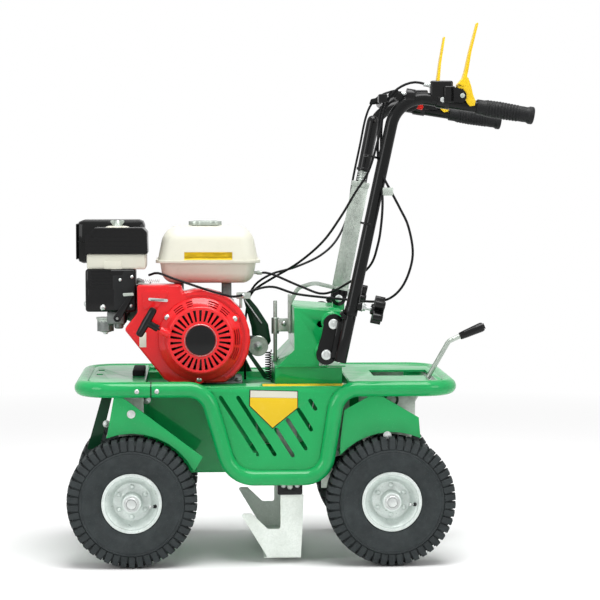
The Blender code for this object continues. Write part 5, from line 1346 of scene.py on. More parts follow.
@dataclass
class Handlebar(Assembly):
    """Folding handlebar with its mounts, knobs, lever perches, levers, throttle and grips."""

    half: float = 0.22
    radius: float = 0.0125
    seam: tuple[float, float] = (0.3004, 0.511)
    corner: tuple[float, float] = (0.3954, 0.9542)
    fillet: float = 0.065
    knob_height: float = 0.022
    grip_start: float = 0.553
    grip_end: float = 0.671
    slope: float = 0.1567
    knuckle_forward: float = 0.0169
    pivot: tuple[float, float] = (0.5226, 0.951)
    throttle: tuple[float, float] = (0.42, 0.938)
    upper_tube: tuple[float, float] = (0.268, 0.493)
    lower_tube: tuple[float, float] = (0.2536, 0.431)

    @property
    def tilt(self) -> float:
        """Lean of the upright tubes to the rear."""
        return atan2(self.corner[0] - self.seam[0], self.corner[1] - self.seam[1])

    def leaned(self, piece: Piece) -> Piece:
        """Lean a piece that was built upright over the seam."""
        return turned(piece, self.tilt, at(self.seam[0], 0.0, self.seam[1]))

    def over_seam(self, side: Side, height: float, behind: float) -> Vector:
        """Point at a height along the tube above the seam and a distance behind its centreline."""
        lean = self.tilt
        return at(self.seam[0] + height * sin(lean) + behind * cos(lean), side * self.half,
                  self.seam[1] + height * cos(lean) - behind * sin(lean))

    @property
    def along(self) -> Vector:
        """Direction of the tubes' sloping part to the rear."""
        return Vector((1.0, 0.0, -self.slope)).normalized()

    def on_slope(self, side: Side, x: float) -> Vector:
        """Point on the centreline of a tube's sloping part."""
        return at(x, side * self.half, self.corner[1] - (x - self.corner[0]) * self.slope)

    def bore(self, side: Side, behind: float) -> Vector:
        """Point on the axis of a clamp knob at a distance behind the tube's centreline."""
        return self.over_seam(side, self.knob_height, behind)

    def path(self, side: Side) -> list[Vector]:
        """Centreline of a tube from the seam to the end of its grip."""
        bends = [self.over_seam(side, GAP, 0.0), self.on_slope(side, self.corner[0]),
                 self.on_slope(side, self.grip_end - 0.006)]
        return filleted(bends, [0.0, self.fillet, 0.0], 16)

    def knuckle(self, side: Side, start: float, end: float, above: bool) -> list[Piece]:
        """Hinge eye and its web, ahead of the tube.

        Args:
            side: Side of the machine.
            start: Distance of its inner face from the tube's middle.
            end: Distance of its outer face.
            above: Whether it belongs to the tube above the seam.

        Returns:
            The eye and the web.
        """
        x = self.seam[0] - self.knuckle_forward
        first, last = side * (self.half + start), side * (self.half + end)
        eye = rod("eye", at(x, first, self.seam[1]), at(x, last, self.seam[1]), 0.004, 20, 0.0005)
        low_z = self.seam[1] + (GAP if above else -0.009)
        high_z = self.seam[1] + (0.009 if above else -GAP)
        web = box("web", at(x, first + side * 0.0002, low_z),
                  at(self.seam[0] - 0.008, last - side * 0.0002, high_z), 0.0005)
        return [self.leaned(eye), self.leaned(web)]

    def build_tubes(self) -> None:
        """Bend both tubes, weld the crossbar and the knuckles, and cap the seam."""
        pieces = []
        for side in Side:
            path = self.path(side)
            middle = path[len(path) // 2]
            outward = (at(self.corner[0], middle.y, self.corner[1]) - middle).normalized()
            cross = middle + outward * (self.radius + 0.0055)
            pieces.append(tube("bar", path, self.radius, 24))
            pieces.append(rod("ferrule", self.over_seam(side, 0.0006, 0.0),
                              self.over_seam(side, 0.018, 0.0), self.radius + 0.0009, 32, 0.0006))
            pieces += self.knuckle(side, -0.004, 0.004, True)
            pieces.append(rod("ear", self.bore(side, 0.009), self.bore(side, 0.019), 0.009, 24, 0.001))
            gusset = plate("gusset", rounded((374, 948, 3), (379, 961, 3), (396, 965, 3), (396, 950, 3)),
                           side * (self.half - 0.0015), side * (self.half + 0.0015), 0.0004)
            pieces.append(gusset)
        pieces.append(
            rod("crossbar", (cross.x, -self.half - 0.003, cross.z), (cross.x, self.half + 0.003, cross.z),
                0.008, 28, 0.0015))
        self.fit(
            joined("handlebar_tubes", *pieces), Finish.BLACK, "handlebar", body="handlebar", angle=40.0)

    def build_perch(self, side: Side) -> None:
        """Clamp a lever perch on the tube, with its ears, pin, clamp bolt and cable adjuster."""
        y = side * self.half
        block = box("block", at(0.46, y - 0.013, 0.936), at(0.505, y + 0.013, 0.981), 0.004, 3)
        shoulder = box("shoulder", at(0.486, y - 0.0205, 0.937), at(0.508, y + 0.0205, 0.97), 0.003, 3)
        band = self.clamp(side, 0.486, 0.026)
        ear = rounded((500, 969, 0), (524, 964, 6), (530, 956, 5), (531, 946, 6), (524, 936, 5),
                      (500, 938, 0), steps=5)
        ears = [plate("ear", ear, y + hand * 0.0184, y + hand * 0.0205, 0.0004) for hand in (-1.0, 1.0)]
        hub = rod(
            "hub", at(self.pivot[0], y - 0.0125, self.pivot[1]),
            at(self.pivot[0], y + 0.0125, self.pivot[1]), 0.0075, 24, 0.001)
        web = box("web", at(0.5, y - 0.01, 0.943), at(0.52, y + 0.01, 0.959), 0.002)
        self.fit(joined(f"perch_{side}", block, shoulder, band, *ears, hub, web), Finish.BLACK_PLASTIC,
                 body="handlebar", angle=40.0)
        x, z = self.pivot
        pin = rod("pin", at(x, y - 0.02, z), at(x, y + 0.02, z), 0.0028, 20)
        heads = [rod("head", at(x, y + hand * 0.0204, z), at(x, y + hand * 0.0222, z), 0.0048, 24, 0.0006)
                 for hand in (-1.0, 1.0)]
        self.fit(joined(f"lever_pin_{side}", pin, *heads), Finish.ZINC, body="handlebar")
        self.bolt(f"perch_bolt_{side}", at(0.484, y + side * 0.0129, 0.9428), (0, side.value, 0), 0.0058,
                  body="handlebar", washer=False)
        nose = lathe(
            f"cable_adjuster_{side}", mm((0, 0), (5.2, 0), (5.2, 3), (4, 3.6), (4, 9), (3.4, 14), (0, 14)),
            at(0.4608, y, 0.9722), (-1.0, -0.02 * side.value, 0.1), 24)
        self.fit(nose, Finish.STEEL, body="handlebar")

    def clamp(self, side: Side, x: float, width: float) -> Piece:
        """Round band that holds a fitting on the sloping part of the tube."""
        middle, half = self.on_slope(side, x), self.along * 0.5 * width
        return rod("band", middle - half, middle + half, self.radius + 0.0022, 32, 0.0008)

    def clutch_lever(self, side: Side) -> None:
        """Mould a lever with its tapering leaf and the two flared cheeks on the pin."""
        near = -self.half
        leaf_outline = rounded(
            (514.5, 968.5, 1), (514, 973.5, 2), (524, 985, 10), (528.2, 998.5, 20), (536.8, 1038, 30),
            (552, 1096, 1.6), (555.5, 1096, 1.6), (541.3, 1038, 30), (535, 1000, 20), (531.2, 984, 10),
            (529, 970, 1), (524, 968.5, 2))
        leaf = plate("leaf", leaf_outline, near - 0.0178, near + 0.0178)
        for vertex in leaf.data.vertices:
            height = vertex.co.z - 0.979
            share = 1.0 if height <= 0.0 else 0.78 - 0.16 * min(1.0, height / 0.117)
            ease = min(1.0, max(0.0, height / 0.016))
            vertex.co.y = near + (vertex.co.y - near) * (1.0 - ease + ease * share)
        soften(leaf, 0.0012, 2, 40.0)
        hole = ring(self.pivot, 0.0034, 20)
        cheek = rounded(
            (514, 973.5, 3), (526.2, 988, 6), (534, 988, 4), (540.5, 970, 12), (544, 954, 10),
            (549.5, 940, 4), (548, 931, 3), (538, 930, 3), (532.5, 936, 4), (528.5, 944, 3),
            (522.6, 943.5, 4), (515.5, 950, 5), (514, 964, 4))
        pieces = [leaf] + [plate("cheek", cheek, near + hand * 0.015, near + hand * 0.0178, 0.0005, [hole])
                           for hand in (-1.0, 1.0)]
        lever = joined(f"clutch_grip_{side}", *pieces)
        if side is Side.RIGHT:
            lever.data.transform(Matrix.Translation((0.0, 2.0 * self.half, 0.0)))
            turned(lever, radians(-5.0), at(self.pivot[0], 0.0, self.pivot[1]))
        node = f"clutch_lever_{side}"
        self.fit(lever, Finish.YELLOW, node, body=node, angle=45.0)

    def grip(self, side: Side) -> None:
        """Spin a ribbed rubber grip with its end flange and closed end."""
        along = self.along
        base = self.on_slope(side, self.grip_start)
        length = (self.grip_end - self.grip_start) / along.x
        rise = length - 0.015 * abs(along.z) / along.x
        profile = mm((12.7, 0), (14.5, 0), (15.2, 1.2), (15.2, 15), (16.2, 17.5))
        ribs, first, pitch = 11, 0.0195, 0.0061
        for rib in range(ribs):
            level = first + pitch * rib
            radius = 0.0176 - 0.0007 * abs(rib - 4.0) / 4.0
            profile += [(radius - 0.0009, level), (radius, level + 0.0012), (radius, level + 0.004),
                        (radius - 0.0009, level + 0.005)]
        profile += [(0.0158, rise - 0.0215), (0.0154, rise - 0.015), (0.016, rise - 0.0122),
                    (0.0177, rise - 0.0095), (0.0177, rise - 0.003), (0.0168, rise - 0.001), (0.0148, rise),
                    (0.0, rise)]
        self.fit(lathe(f"grip_rubber_{side}", profile, base, along, 48), Finish.GRIP, f"grip_{side}",
                 body="handlebar", angle=28.0)

    def build_throttle(self) -> None:
        """Mould the throttle's drum, its clamp and its red thumb lever."""
        x, z = self.throttle
        drum = lathe(
            "drum", mm((0, 0), (17, 0), (19, 2), (19, 18), (17.5, 19.8), (6, 20), (5.5, 20.5), (0, 20.5)),
            at(x, -0.2102, z), (0, 1, 0), 40)
        bracket = box("bracket", at(x - 0.01, -0.213, z - 0.012), at(x + 0.01, -0.206, z + 0.016), 0.002)
        snout = rod(
            "snout", at(x - 0.012, -0.2, z + 0.01), at(x - 0.03, -0.2, z + 0.013), 0.0045, 20, 0.001)
        self.fit(joined("throttle_housing", drum, bracket, snout, self.clamp(Side.LEFT, x, 0.018)),
                 Finish.BLACK_PLASTIC, body="handlebar")
        tip = (0.4445, 0.9305)
        bearing = degrees(atan2(tip[1] - z, tip[0] - x))
        outline = (arc((x, z), 0.0078, bearing + 90.0, bearing + 270.0, 16)
                   + arc(tip, 0.0058, bearing - 90.0, bearing + 90.0, 12))
        blade = plate("blade", outline, -0.1896, -0.1858, 0.0008, [ring((x, z), 0.0034, 20)])
        rest = box("rest", at(0.436, -0.19, 0.9252), at(0.45, -0.18, 0.929), 0.0012)
        turned(rest, radians(17.0), at(tip[0], 0.0, tip[1]))
        self.fit(joined("throttle_thumb", blade, rest), Finish.RED_PLASTIC, "throttle_lever",
                 body="throttle_lever")
        self.screw("throttle_screw", at(x, -0.1848, z), (0, 1, 0), 0.0042, body="handlebar")

    def mount(self, side: Side) -> None:
        """Weld a mount from its waisted plate, round socket tube, buffers and knuckles."""
        sign = side.value
        upper, lower = self.upper_tube, self.lower_tube
        outline = (arc(lower, 0.0205, 150.0, 330.0, 20) + mm((279, 450), (285, 475))
                   + arc(upper, 0.0205, -28.0, 190.0, 24) + mm((244, 470), (237.5, 450)))
        pieces = [plate("plate", outline, sign * 0.2025, sign * 0.2075, 0.0007)]
        foot = self.over_seam(side, -0.096, 0.0)
        pieces.append(rod("socket", foot, self.over_seam(side, -0.0002, 0.0), self.radius, 40, 0.0008))
        web = mm((276, 497), (296, 500), (279, 425), (262, 425))
        pieces.append(plate("web", web, sign * 0.205, sign * 0.213, 0.0008))
        for x, z in (upper, lower):
            pieces.append(rod("buffer", at(x, sign * 0.1904, z), at(x, sign * 0.204, z), 0.016, 32, 0.002))
        for start, end in ((-0.012, -0.0043), (0.0043, 0.012)):
            pieces += self.knuckle(side, start, end, False)
        x = self.seam[0] - self.knuckle_forward
        pin = rod("pin", at(x, sign * (self.half - 0.01), self.seam[1]),
                  at(x, sign * (self.half + 0.0135), self.seam[1]), 0.002, 16)
        pieces.append(self.leaned(pin))
        for height in (-0.014, -0.038, -0.08):
            bead = self.over_seam(side, height, -0.01)
            pieces.append(rod("bead", bead + Vector((0, sign * -0.005, 0)),
                              bead + Vector((0, sign * -0.0135, 0)), 0.0036, 12, 0.0012))
        self.fit(joined(f"mount_{side}", *pieces), Finish.BLACK, f"handle_mount_{side}", angle=40.0)
        for label, (x, z) in (("upper", upper), ("lower", lower)):
            self.fit(lathe(f"mount_bolt_{label}_{side}", mm((0, 5), (4, 5), (4.6, 4.2), (8.8, 3.8),
                                                            (10, 2.8), (10.4, 0), (0, 0)),
                           at(x, sign * 0.2075, z), (0, sign, 0), 36), Finish.STEEL)

    def knob(self, side: Side) -> None:
        """Mould a five-lobed clamp knob on its stud."""
        centre = self.bore(side, 0.053)
        lobes = []
        for number in range(5):
            angle = 72.0 * number + 90.0 * (1.0 + side.value)
            reach = radians(angle)
            lobes += arc((0.0222 * cos(reach), 0.0222 * sin(reach)), 0.0072, angle - 78.0, angle + 78.0, 8)
            gap = radians(angle + 36.0)
            lobes.append((0.0138 * cos(gap), 0.0138 * sin(gap)))
        back = (self.bore(side, 1.0) - self.bore(side, 0.0)).normalized()
        star = sheet("star", lobes, -0.01, 0.01)
        star.data.transform(Matrix.Translation((-CRANK.x, 0.0, 0.0)))
        star.data.transform(Matrix.Translation(centre) @ back.to_track_quat("Z", "Y").to_matrix().to_4x4())
        soften(star, 0.0022, 3, 40.0)
        crown = lathe("crown", mm((0, 11.2), (8, 11), (11, 9.8), (12, 6), (0, 6)), centre, back, 32)
        boss = lathe("boss", mm((0, -15), (9.8, -15), (10.8, -14), (11.8, -8), (0, -8)), centre, back, 32)
        body = f"knob_{side}"
        self.fit(joined(f"star_knob_{side}", star, crown, boss), Finish.BLACK_PLASTIC, body, body=body,
                 angle=40.0)
        stud = rod("stud", self.bore(side, 0.0068), self.bore(side, 0.046), 0.0039, 24)
        washer = rod("washer", self.bore(side, 0.0194), self.bore(side, 0.0216), 0.0096, 32, 0.0006)
        nut = rod("nut", self.bore(side, 0.022), self.bore(side, 0.027), 0.0072, 6, 0.0004)
        self.fit(joined(f"knob_stud_{side}", stud, washer, nut), Finish.STEEL, body=body)

    def build(self) -> None:
        """Make the handlebar and all that it carries."""
        self.build_tubes()
        self.build_throttle()
        for side in Side:
            self.mount(side)
            self.build_perch(side)
            self.clutch_lever(side)
            self.grip(side)
            self.knob(side)


# Controls, drive, blade and cables

@dataclass
class Controls(Assembly):
    """Depth lever, gear lever, lift linkage, blade and the small drive parts behind the engine."""

    lever_pivot: tuple[float, float] = (0.2916, 0.533)
    lever_lean: float = radians(11.0)
    blade_pivot: tuple[float, float] = (0.181, 0.159)
    blade_half: float = 0.175
    lift_x: float = 0.158
    idler_pin: tuple[float, float] = (0.122, 0.431)
    idler_y: float = 0.0255

    def leaned(self, piece: Piece) -> Piece:
        """Lean a piece that was built upright over the depth lever's pivot."""
        return turned(piece, self.lever_lean, at(self.lever_pivot[0], 0.0, self.lever_pivot[1]))

    def build_depth_lever(self) -> None:
        """Fold the lever's channel, its foot, its cap, the release sleeve and the spring under it."""
        x, z = self.lever_pivot
        inner, outer, half = 0.0126, 0.0151, 0.0165
        wall = outer - inner
        plan = [(x - half, -outer), (x + half, -outer), (x + half, outer), (x - half, outer),
                (x - half, inner), (x + half - wall, inner), (x + half - wall, -inner), (x - half, -inner)]
        channel = sheet("channel", plan, z + 0.021, z + 0.243, 0.0007)
        lip = sheet(
            "lip", [(x - 0.0185, -0.016), (x + 0.0185, -0.016), (x + 0.0185, 0.016), (x - 0.0185, 0.016),
                    (x - 0.0185, inner), (x + 0.0145, inner), (x + 0.0145, -inner), (x - 0.0185, -inner)],
            z + 0.0185, z + 0.0235, 0.0009)
        cap = box("cap", at(x - 0.018, -0.0165, z + 0.239), at(x + 0.018, 0.0165, z + 0.2502), 0.0016)
        core = rod("core", at(x, 0.0, z + 0.245), at(x, 0.0, z + 0.37), 0.0064, 28)
        self.fit(self.leaned(joined("lever_channel", channel, lip, cap, core)), Finish.ZINC, "depth_lever",
                 body="depth_lever", angle=40.0)
        foot = (arc((x, z), 0.0155, 180.0, 360.0, 16) + [(x + 0.016, z + 0.0225), (x - 0.016, z + 0.0225)])
        hole = ring((x, z), 0.0048, 20)
        cheeks = [plate("cheek", foot, hand * (inner + 0.0003), hand * (outer + 0.0002), 0.0006, [hole])
                  for hand in (-1.0, 1.0)]
        self.fit(self.leaned(joined("lever_foot", *cheeks)), Finish.BLACK_PLASTIC, body="depth_lever")
        self.fit(lathe("lever_pivot_head", mm((0, 4.5), (5, 4.5), (7.8, 3), (8.2, 0), (0, 0)),
                       at(x, -0.0156, z), NEAR, 28), Finish.STEEL)
        top, reach = 0.2738, 0.392
        sleeve = lathe(
            "sleeve_grip", [(0.007, top), (0.0135, top), (0.0145, top + 0.0012), (0.0145, top + 0.0052),
                            (0.0128, top + 0.0068), (0.0125, 0.374), (0.0122, 0.379), (0.0113, 0.3845),
                            (0.0092, 0.3885), (0.0055, 0.3912), (0.0, reach), (0.0, 0.3845),
                            (0.007, 0.3835)], at(x, 0.0, z), UP, 40, True)
        self.fit(self.leaned(sleeve), Finish.BLACK_PLASTIC, "lever_sleeve", body="lever_sleeve")
        wire, bottom = 0.0011, 0.2516
        rise = 0.2724 - bottom
        turns = coil(at(x, 0.0, z + bottom), 0.009, 4, rise, 96)
        spring = self.leaned(tube("sleeve_spring", turns, wire, 12))
        self.paint(spring, Finish.STEEL, "lever_spring")
        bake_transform(spring)

    def build_gear_lever(self) -> None:
        """Bend the gear lever and push its grip on."""
        y = -0.1
        path = filleted([at(0.42, y, 0.2925), at(0.472, y, 0.374), at(0.515, y, 0.449), at(0.56, y, 0.468)],
                        [0.0, 0.03, 0.018, 0.0], 10)
        lever = tube("lever", path, 0.005, 20)
        hub = lathe("hub", mm((5, 0), (9, 0), (9, 27), (5, 27)), at(0.4085, y, 0.3), (1, 0, 0), 32, True)
        self.fit(joined("gear_rod", lever, hub), Finish.ZINC, "gear_lever", body="gear_lever")
        start, end = at(0.538, y, 0.4587), at(0.588, y, 0.4798)
        length = (end - start).length
        grip = lathe(
            "gear_grip", [(0.0, 0.0), (0.0068, 0.0), (0.0076, 0.0015), (0.0084, 0.012), (0.0094, 0.035),
                          (0.01, length - 0.006), (0.0086, length - 0.0015), (0.0, length)], start,
            end - start, 32)
        self.fit(grip, Finish.BLACK_PLASTIC, body="gear_lever")
        self.fit(rod("gear_grip_tip", end, end + (end - start).normalized() * 0.0012, 0.0066, 28, 0.0005),
                 Finish.GRIP, body="gear_lever")

    def build_linkage(self) -> None:
        """Fold the rod guide, bend the lever's quadrant and set the lift rod with its clevis head."""
        strap = box("strap", at(0.1849, -0.022, 0.46), at(0.1917, 0.012, 0.541), 0.0012)
        ledge = box("ledge", at(0.163, -0.012, 0.463), at(0.188, 0.012, 0.49), 0.002)
        boss = lathe("boss", mm((4.3, 0), (8, 0), (8, 33), (7.2, 34), (4.3, 34)),
                     at(self.lift_x, 0.0, 0.458), UP, 32, True)
        pieces = [strap, ledge, boss]
        curve = filleted(mm((188, 523), (205, 556), (240, 566.5), (279, 557)), [0.0, 0.022, 0.04, 0.0], 10)
        band = [Vector((point.x, point.y)) for point in curve]
        left, right = [], []
        for index, point in enumerate(band):
            ahead = (band[min(index + 1, len(band) - 1)] - band[max(index - 1, 0)]).normalized()
            normal = Vector((-ahead.y, ahead.x))
            left.append(point + normal * 0.0042)
            right.append(point - normal * 0.0042)
        pieces.append(plate("quadrant", left + right[::-1], -0.0222, -0.019, 0.0006))
        self.fit(joined("rod_bracket", *pieces), Finish.ZINC, "rod_guide")
        self.screw("quadrant_screw", at(0.176, -0.012, 0.48), NEAR, 0.0055)
        rod_piece = rod("rod", at(self.lift_x, 0.0, 0.305), at(self.lift_x, 0.0, 0.528), 0.004, 24, 0.0012)
        leg_y, half = 0.161, 0.003
        pivot = self.blade_pivot
        leg = [(0.165, 0.31)] + arc(pivot, 0.013, 180.0, 360.0, 20) + [(0.197, 0.31)]
        parts = [box("bar", at(0.151, -leg_y, 0.29), at(0.175, leg_y, 0.31), 0.003), rod_piece]
        for sign in (-1.0, 1.0):
            parts.append(plate("leg", leg, sign * (leg_y - half), sign * (leg_y + half), 0.0006))
            parts.append(
                rod("pin", at(pivot[0], sign * leg_y, pivot[1]), at(pivot[0], sign * 0.1814, pivot[1]),
                    0.006, 28, 0.0008))
        self.fit(joined("lift_hanger", *parts), Finish.ZINC, "blade_hanger", body="blade_hanger")

    def build_blade(self) -> None:
        """Forge the blade with its bevelled edge, its arms, its rubber pads and their bolts."""
        arm = rounded(
            (81, 103.5, 4), (135.5, 13.5, 3), (203.5, 13.5, 2), (206, 60, 0), (209, 138, 0),
            (209, 143.5, 3), (162, 143.5, 3), (162, 80, 4), (161, 72, 4), (136, 72, 6), (103, 103.5, 4))
        edge = plate("edge", mm((127.5, 12.2), (203.8, 12.2), (203.8, 17.8), (142, 17.8)), -self.blade_half,
                     self.blade_half, 0.0005)
        arms = [plate("arm", arm, side * (self.blade_half - 0.002), side * (self.blade_half + 0.002),
                      0.0006) for side in Side]
        self.fit(joined("cutting_blade", edge, *arms), Finish.BLADE, "blade", body="blade")
        for side in Side:
            sign = side.value
            hole = ring(self.blade_pivot, 0.0063, 24)
            pad = rounded((155.5, 143, 4), (206.5, 143, 4), (206.5, 170, 4), (155.5, 170, 4), steps=5)
            self.fit(plate(f"blade_pad_{side}", pad, sign * 0.1656, sign * 0.1834, 0.0012, [hole]),
                     Finish.BLACK_PLASTIC, body="blade")
            for number, x in enumerate((0.168, 0.196)):
                self.screw(f"pad_bolt_{side}_{number + 1}", at(x, sign * 0.1833, 0.163), (0, sign, 0),
                           0.0058, body="blade")

    def build_idler(self) -> None:
        """Press the idler arm with its roller, lay a thin steel rod on it as a painted highlight along its
        edge, and wind the return spring.
        """
        y = self.idler_y
        pin = self.idler_pin
        outline = rounded(
            (90.5, 533, 4), (103, 533, 4), (121, 512, 10), (144, 476, 10), (150, 440, 4), (145, 431, 3),
            (138, 434, 3), (130, 420, 8), (114, 421, 8), (112, 433, 6), (108, 470, 10))
        self.fit(plate("arm", outline, y + 0.0005, y + 0.0055, 0.0008, [ring(pin, 0.0055, 20)]),
                 Finish.DARK_GREEN, "idler_arm", body="idler_arm")
        # A thin steel rod laid on the dark-green arm: a painted highlight along the arm's edge.
        self.fit(tube("idler_strut", filleted([at(0.0935, y - 0.0012, 0.529), at(0.13, y - 0.0012, 0.478)],
                                              [0.0, 0.0]), 0.0016, 12), Finish.STEEL, body="idler_arm")
        wheel = lathe(
            "idler_roller", mm((5.5, 0), (20.5, 0), (21.5, 0.8), (19, 2.4), (15.2, 3.4), (15.2, 8.6),
                               (19, 9.6), (21.5, 11.2), (20.5, 12), (5.5, 12)),
            at(pin[0], y - 0.02, pin[1]), (0, 1, 0), 40, True)
        self.fit(wheel, Finish.ZINC)
        self.bolt("idler_bolt", at(pin[0], y - 0.0198, pin[1]), NEAR, 0.0066)
        foot, reach, hook = at(0.1445, 0.0285, 0.3563), 0.0062, Vector((0.0, 0.0, 0.004))
        turns = coil(foot, reach, 12, 12 * 0.0051, 144)
        wire = [foot + Vector((reach, 0.0, 0.0)) - hook, *turns, turns[-1] + hook]
        spring = tube("return_spring", wire, 0.0012, 10)
        self.paint(spring, Finish.BLACK, "idler_spring")
        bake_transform(spring)

    def build_drive(self) -> None:
        """Dress the pulleys, the belt, its guard and the transmission under the tray."""
        self.fit(retraced("belt_guard", "belt_cover", 0.0016, 2), Finish.DARK_GREEN, angle=40.0)
        self.fit(retraced("drive_belt", "v_belt", 0.0006, 1), Finish.BELT, angle=40.0)
        for node, name in (("engine_pulley", "small_pulley"), ("driven_pulley", "large_pulley")):
            body = "crank" if node == "engine_pulley" else "driven"
            self.fit(retraced(node, name, 0.0004, 1), Finish.STEEL, body=body, angle=40.0)
        self.fit(retraced("drive_case", "transmission", 0.003, 2), Finish.GREEN, angle=40.0)
        for number, (x, z) in enumerate(((-0.112, 0.33), (-0.112, 0.195), (0.05, 0.195), (0.1, 0.27),
                                         (0.1, 0.33))):
            self.bolt(f"case_bolt_{number + 1}", at(x, -0.1, z), NEAR, 0.0062)

    def build(self) -> None:
        """Make the controls, the linkage, the blade and the drive."""
        self.build_depth_lever()
        self.build_gear_lever()
        self.build_linkage()
        self.build_blade()
        self.build_idler()
        self.build_drive()


@dataclass
class Cables(Assembly):
    """Bowden cables between the handlebar, the engine and the drive, with their clips."""

    radius: float = 0.0025

    def run(self, name: str, points: Iterable[Point], *nodes: str, flexes: bool = True) -> None:
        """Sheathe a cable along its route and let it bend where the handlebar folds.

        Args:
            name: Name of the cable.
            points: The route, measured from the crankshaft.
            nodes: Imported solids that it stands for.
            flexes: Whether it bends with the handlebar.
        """
        route = smooth_route([at(*point) for point in points], 0.009)
        cable = tube(name, route, self.radius, 14)
        if not flexes:
            self.fit(cable, Finish.SHEATH, *nodes)
            return
        self.paint(cable, Finish.SHEATH, *nodes)
        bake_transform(cable)

    def build_clutch_cables(self) -> None:
        """Lay the two clutch cables from the perches to the idler and through the tray."""
        self.run("idler_cable", [(0.4595, -0.22, 0.972), (0.43, -0.221, 0.978), (0.403, -0.222, 0.97),
            (0.381, -0.222, 0.951), (0.367, -0.221, 0.918), (0.355, -0.22, 0.86),
            (0.337, -0.216, 0.8), (0.312, -0.196, 0.757), (0.285, -0.15, 0.706),
            (0.252, -0.1, 0.655), (0.205, -0.045, 0.61), (0.155, 0.0, 0.577),
            (0.118, 0.024, 0.552), (0.104, 0.0285, 0.5345)], "clutch_cable_left")
        self.run("drive_cable", [(0.4595, 0.22, 0.972), (0.43, 0.221, 0.978), (0.403, 0.222, 0.97),
            (0.381, 0.222, 0.951), (0.367, 0.221, 0.918), (0.355, 0.22, 0.86),
            (0.338, 0.213, 0.78), (0.326, 0.196, 0.706), (0.3, 0.165, 0.652),
            (0.262, 0.135, 0.618), (0.206, 0.105, 0.594), (0.15, 0.092, 0.578),
            (0.112, 0.088, 0.548), (0.098, 0.088, 0.49), (0.096, 0.088, 0.42),
            (0.096, 0.088, 0.3525)], "clutch_cable_right")

    def build_throttle_cables(self) -> None:
        """Lay the throttle cable with its slack loop behind the tube, and the stop wire beside it."""
        self.run(
            "throttle_cable",
            [
                (0.389, -0.2, 0.9515), (0.372, -0.202, 0.942), (0.36, -0.206, 0.905), (0.356, -0.218, 0.83),
                (0.366, -0.23, 0.79), (0.378, -0.232, 0.766), (0.4, -0.23, 0.725), (0.417, -0.226, 0.689),
                (0.427, -0.215, 0.633), (0.415, -0.195, 0.58), (0.392, -0.172, 0.547),
                (0.36, -0.154, 0.535), (0.305, -0.125, 0.537), (0.26, -0.1, 0.54), (0.198, -0.083, 0.547),
                (0.15, -0.09, 0.562), (0.112, -0.105, 0.557), (0.09, -0.115, 0.547)])
        self.run(
            "stop_wire",
            [
                (0.39, -0.206, 0.944), (0.372, -0.207, 0.928), (0.364, -0.208, 0.89), (0.362, -0.22, 0.79),
                (0.364, -0.234, 0.744), (0.362, -0.233, 0.699), (0.356, -0.22, 0.653),
                (0.342, -0.185, 0.608), (0.3, -0.13, 0.57), (0.255, -0.095, 0.548), (0.208, -0.07, 0.562),
                (0.149, -0.06, 0.587), (0.128, -0.06, 0.59)])
        self.run("governor_cable", [(0.09, -0.115, 0.547), (0.068, -0.14, 0.545), (0.053, -0.1436, 0.548),
                (0.0224, -0.1436, 0.5564), (-0.014, -0.1436, 0.5686), (-0.051, -0.143, 0.581),
                (-0.086, -0.13, 0.593), (-0.105, -0.112, 0.588)], flexes=False)

    def build_clips(self) -> None:
        """Clip the cables to the tube and to the engine, and end the stop wire in its plug."""
        self.fit(box("cable_clip", at(0.364, -0.237, 0.752), at(0.385, -0.221, 0.768), 0.0018), Finish.ZINC,
                 body="handlebar")
        self.fit(box("crossbar_clip", at(0.356, -0.233, 0.937), at(0.374, -0.207, 0.954), 0.0025),
                 Finish.BLACK_PLASTIC, body="handlebar")
        clamp = box("clamp", at(0.074, -0.12, 0.539), at(0.103, -0.108, 0.552), 0.0016)
        stalk = box("stalk", at(0.08, -0.116, 0.52), at(0.086, -0.1, 0.542), 0.001)
        self.fit(joined("cable_clamp", clamp, stalk), Finish.ZINC)
        self.screw("cable_clamp_screw", at(0.088, -0.12, 0.5455), NEAR, 0.0045)
        self.fit(lathe("stop_plug", mm((0, 0), (4.2, 0), (4.2, 10), (3, 11), (3, 16), (0, 16)),
                       at(0.128, -0.06, 0.59), (-1.0, 0.0, 0.0), 24), Finish.ZINC)
        for number, (x, z) in enumerate(((0.347, 0.83), (0.34, 0.695))):
            along = Vector((0.2097, 0.0, 0.9778))
            centre = at(x - 0.0055, -0.22, z)
            self.fit(rod(f"cable_tie_{number + 1}", centre - along * 0.0022, centre + along * 0.0022, 0.015,
                         32, 0.0006), Finish.BLACK_PLASTIC, body="handlebar")

    def build_braces(self) -> None:
        """Weld the small braces behind the engine and over the front axle."""
        brace = mm((98, 418), (106, 420), (142, 370), (133, 366))
        self.fit(plate("engine_brace", brace, -0.044, -0.04, 0.0008), Finish.DARK_GREEN)
        stay = mm((-200, 348), (-179, 348), (-208, 232), (-233, 232))
        self.fit(plate("front_stay", stay, -0.13, -0.126, 0.0008), Finish.DARK_GREEN)
        self.bolt("front_stay_bolt", at(-0.193, -0.13, 0.284), NEAR, 0.0052)
        guard = mm((248, 360), (306, 360), (306, 190), (296, 148), (248, 148))
        self.fit(plate("chain_plate", guard, -0.128, -0.125, 0.0008), Finish.ZINC)
        ring_profile = mm((8.5, 0), (17.8, 0), (17.8, 2), (16, 3.4), (10, 3.4), (8.5, 2))
        self.fit(
            lathe("chain_bearing", ring_profile, at(0.287, -0.1276, 0.197), NEAR, 36, True), Finish.BLACK)
        self.fit(lathe("chain_hub", mm((0, 0), (8.6, 0), (7.8, 1.8), (0, 2.2)), at(0.287, -0.1276, 0.197),
                       NEAR, 28), Finish.STEEL)

    def build(self) -> None:
        """Lay every cable and fit its clips."""
        self.build_clutch_cables()
        self.build_throttle_cables()
        self.build_clips()
        self.build_braces()


# Studio

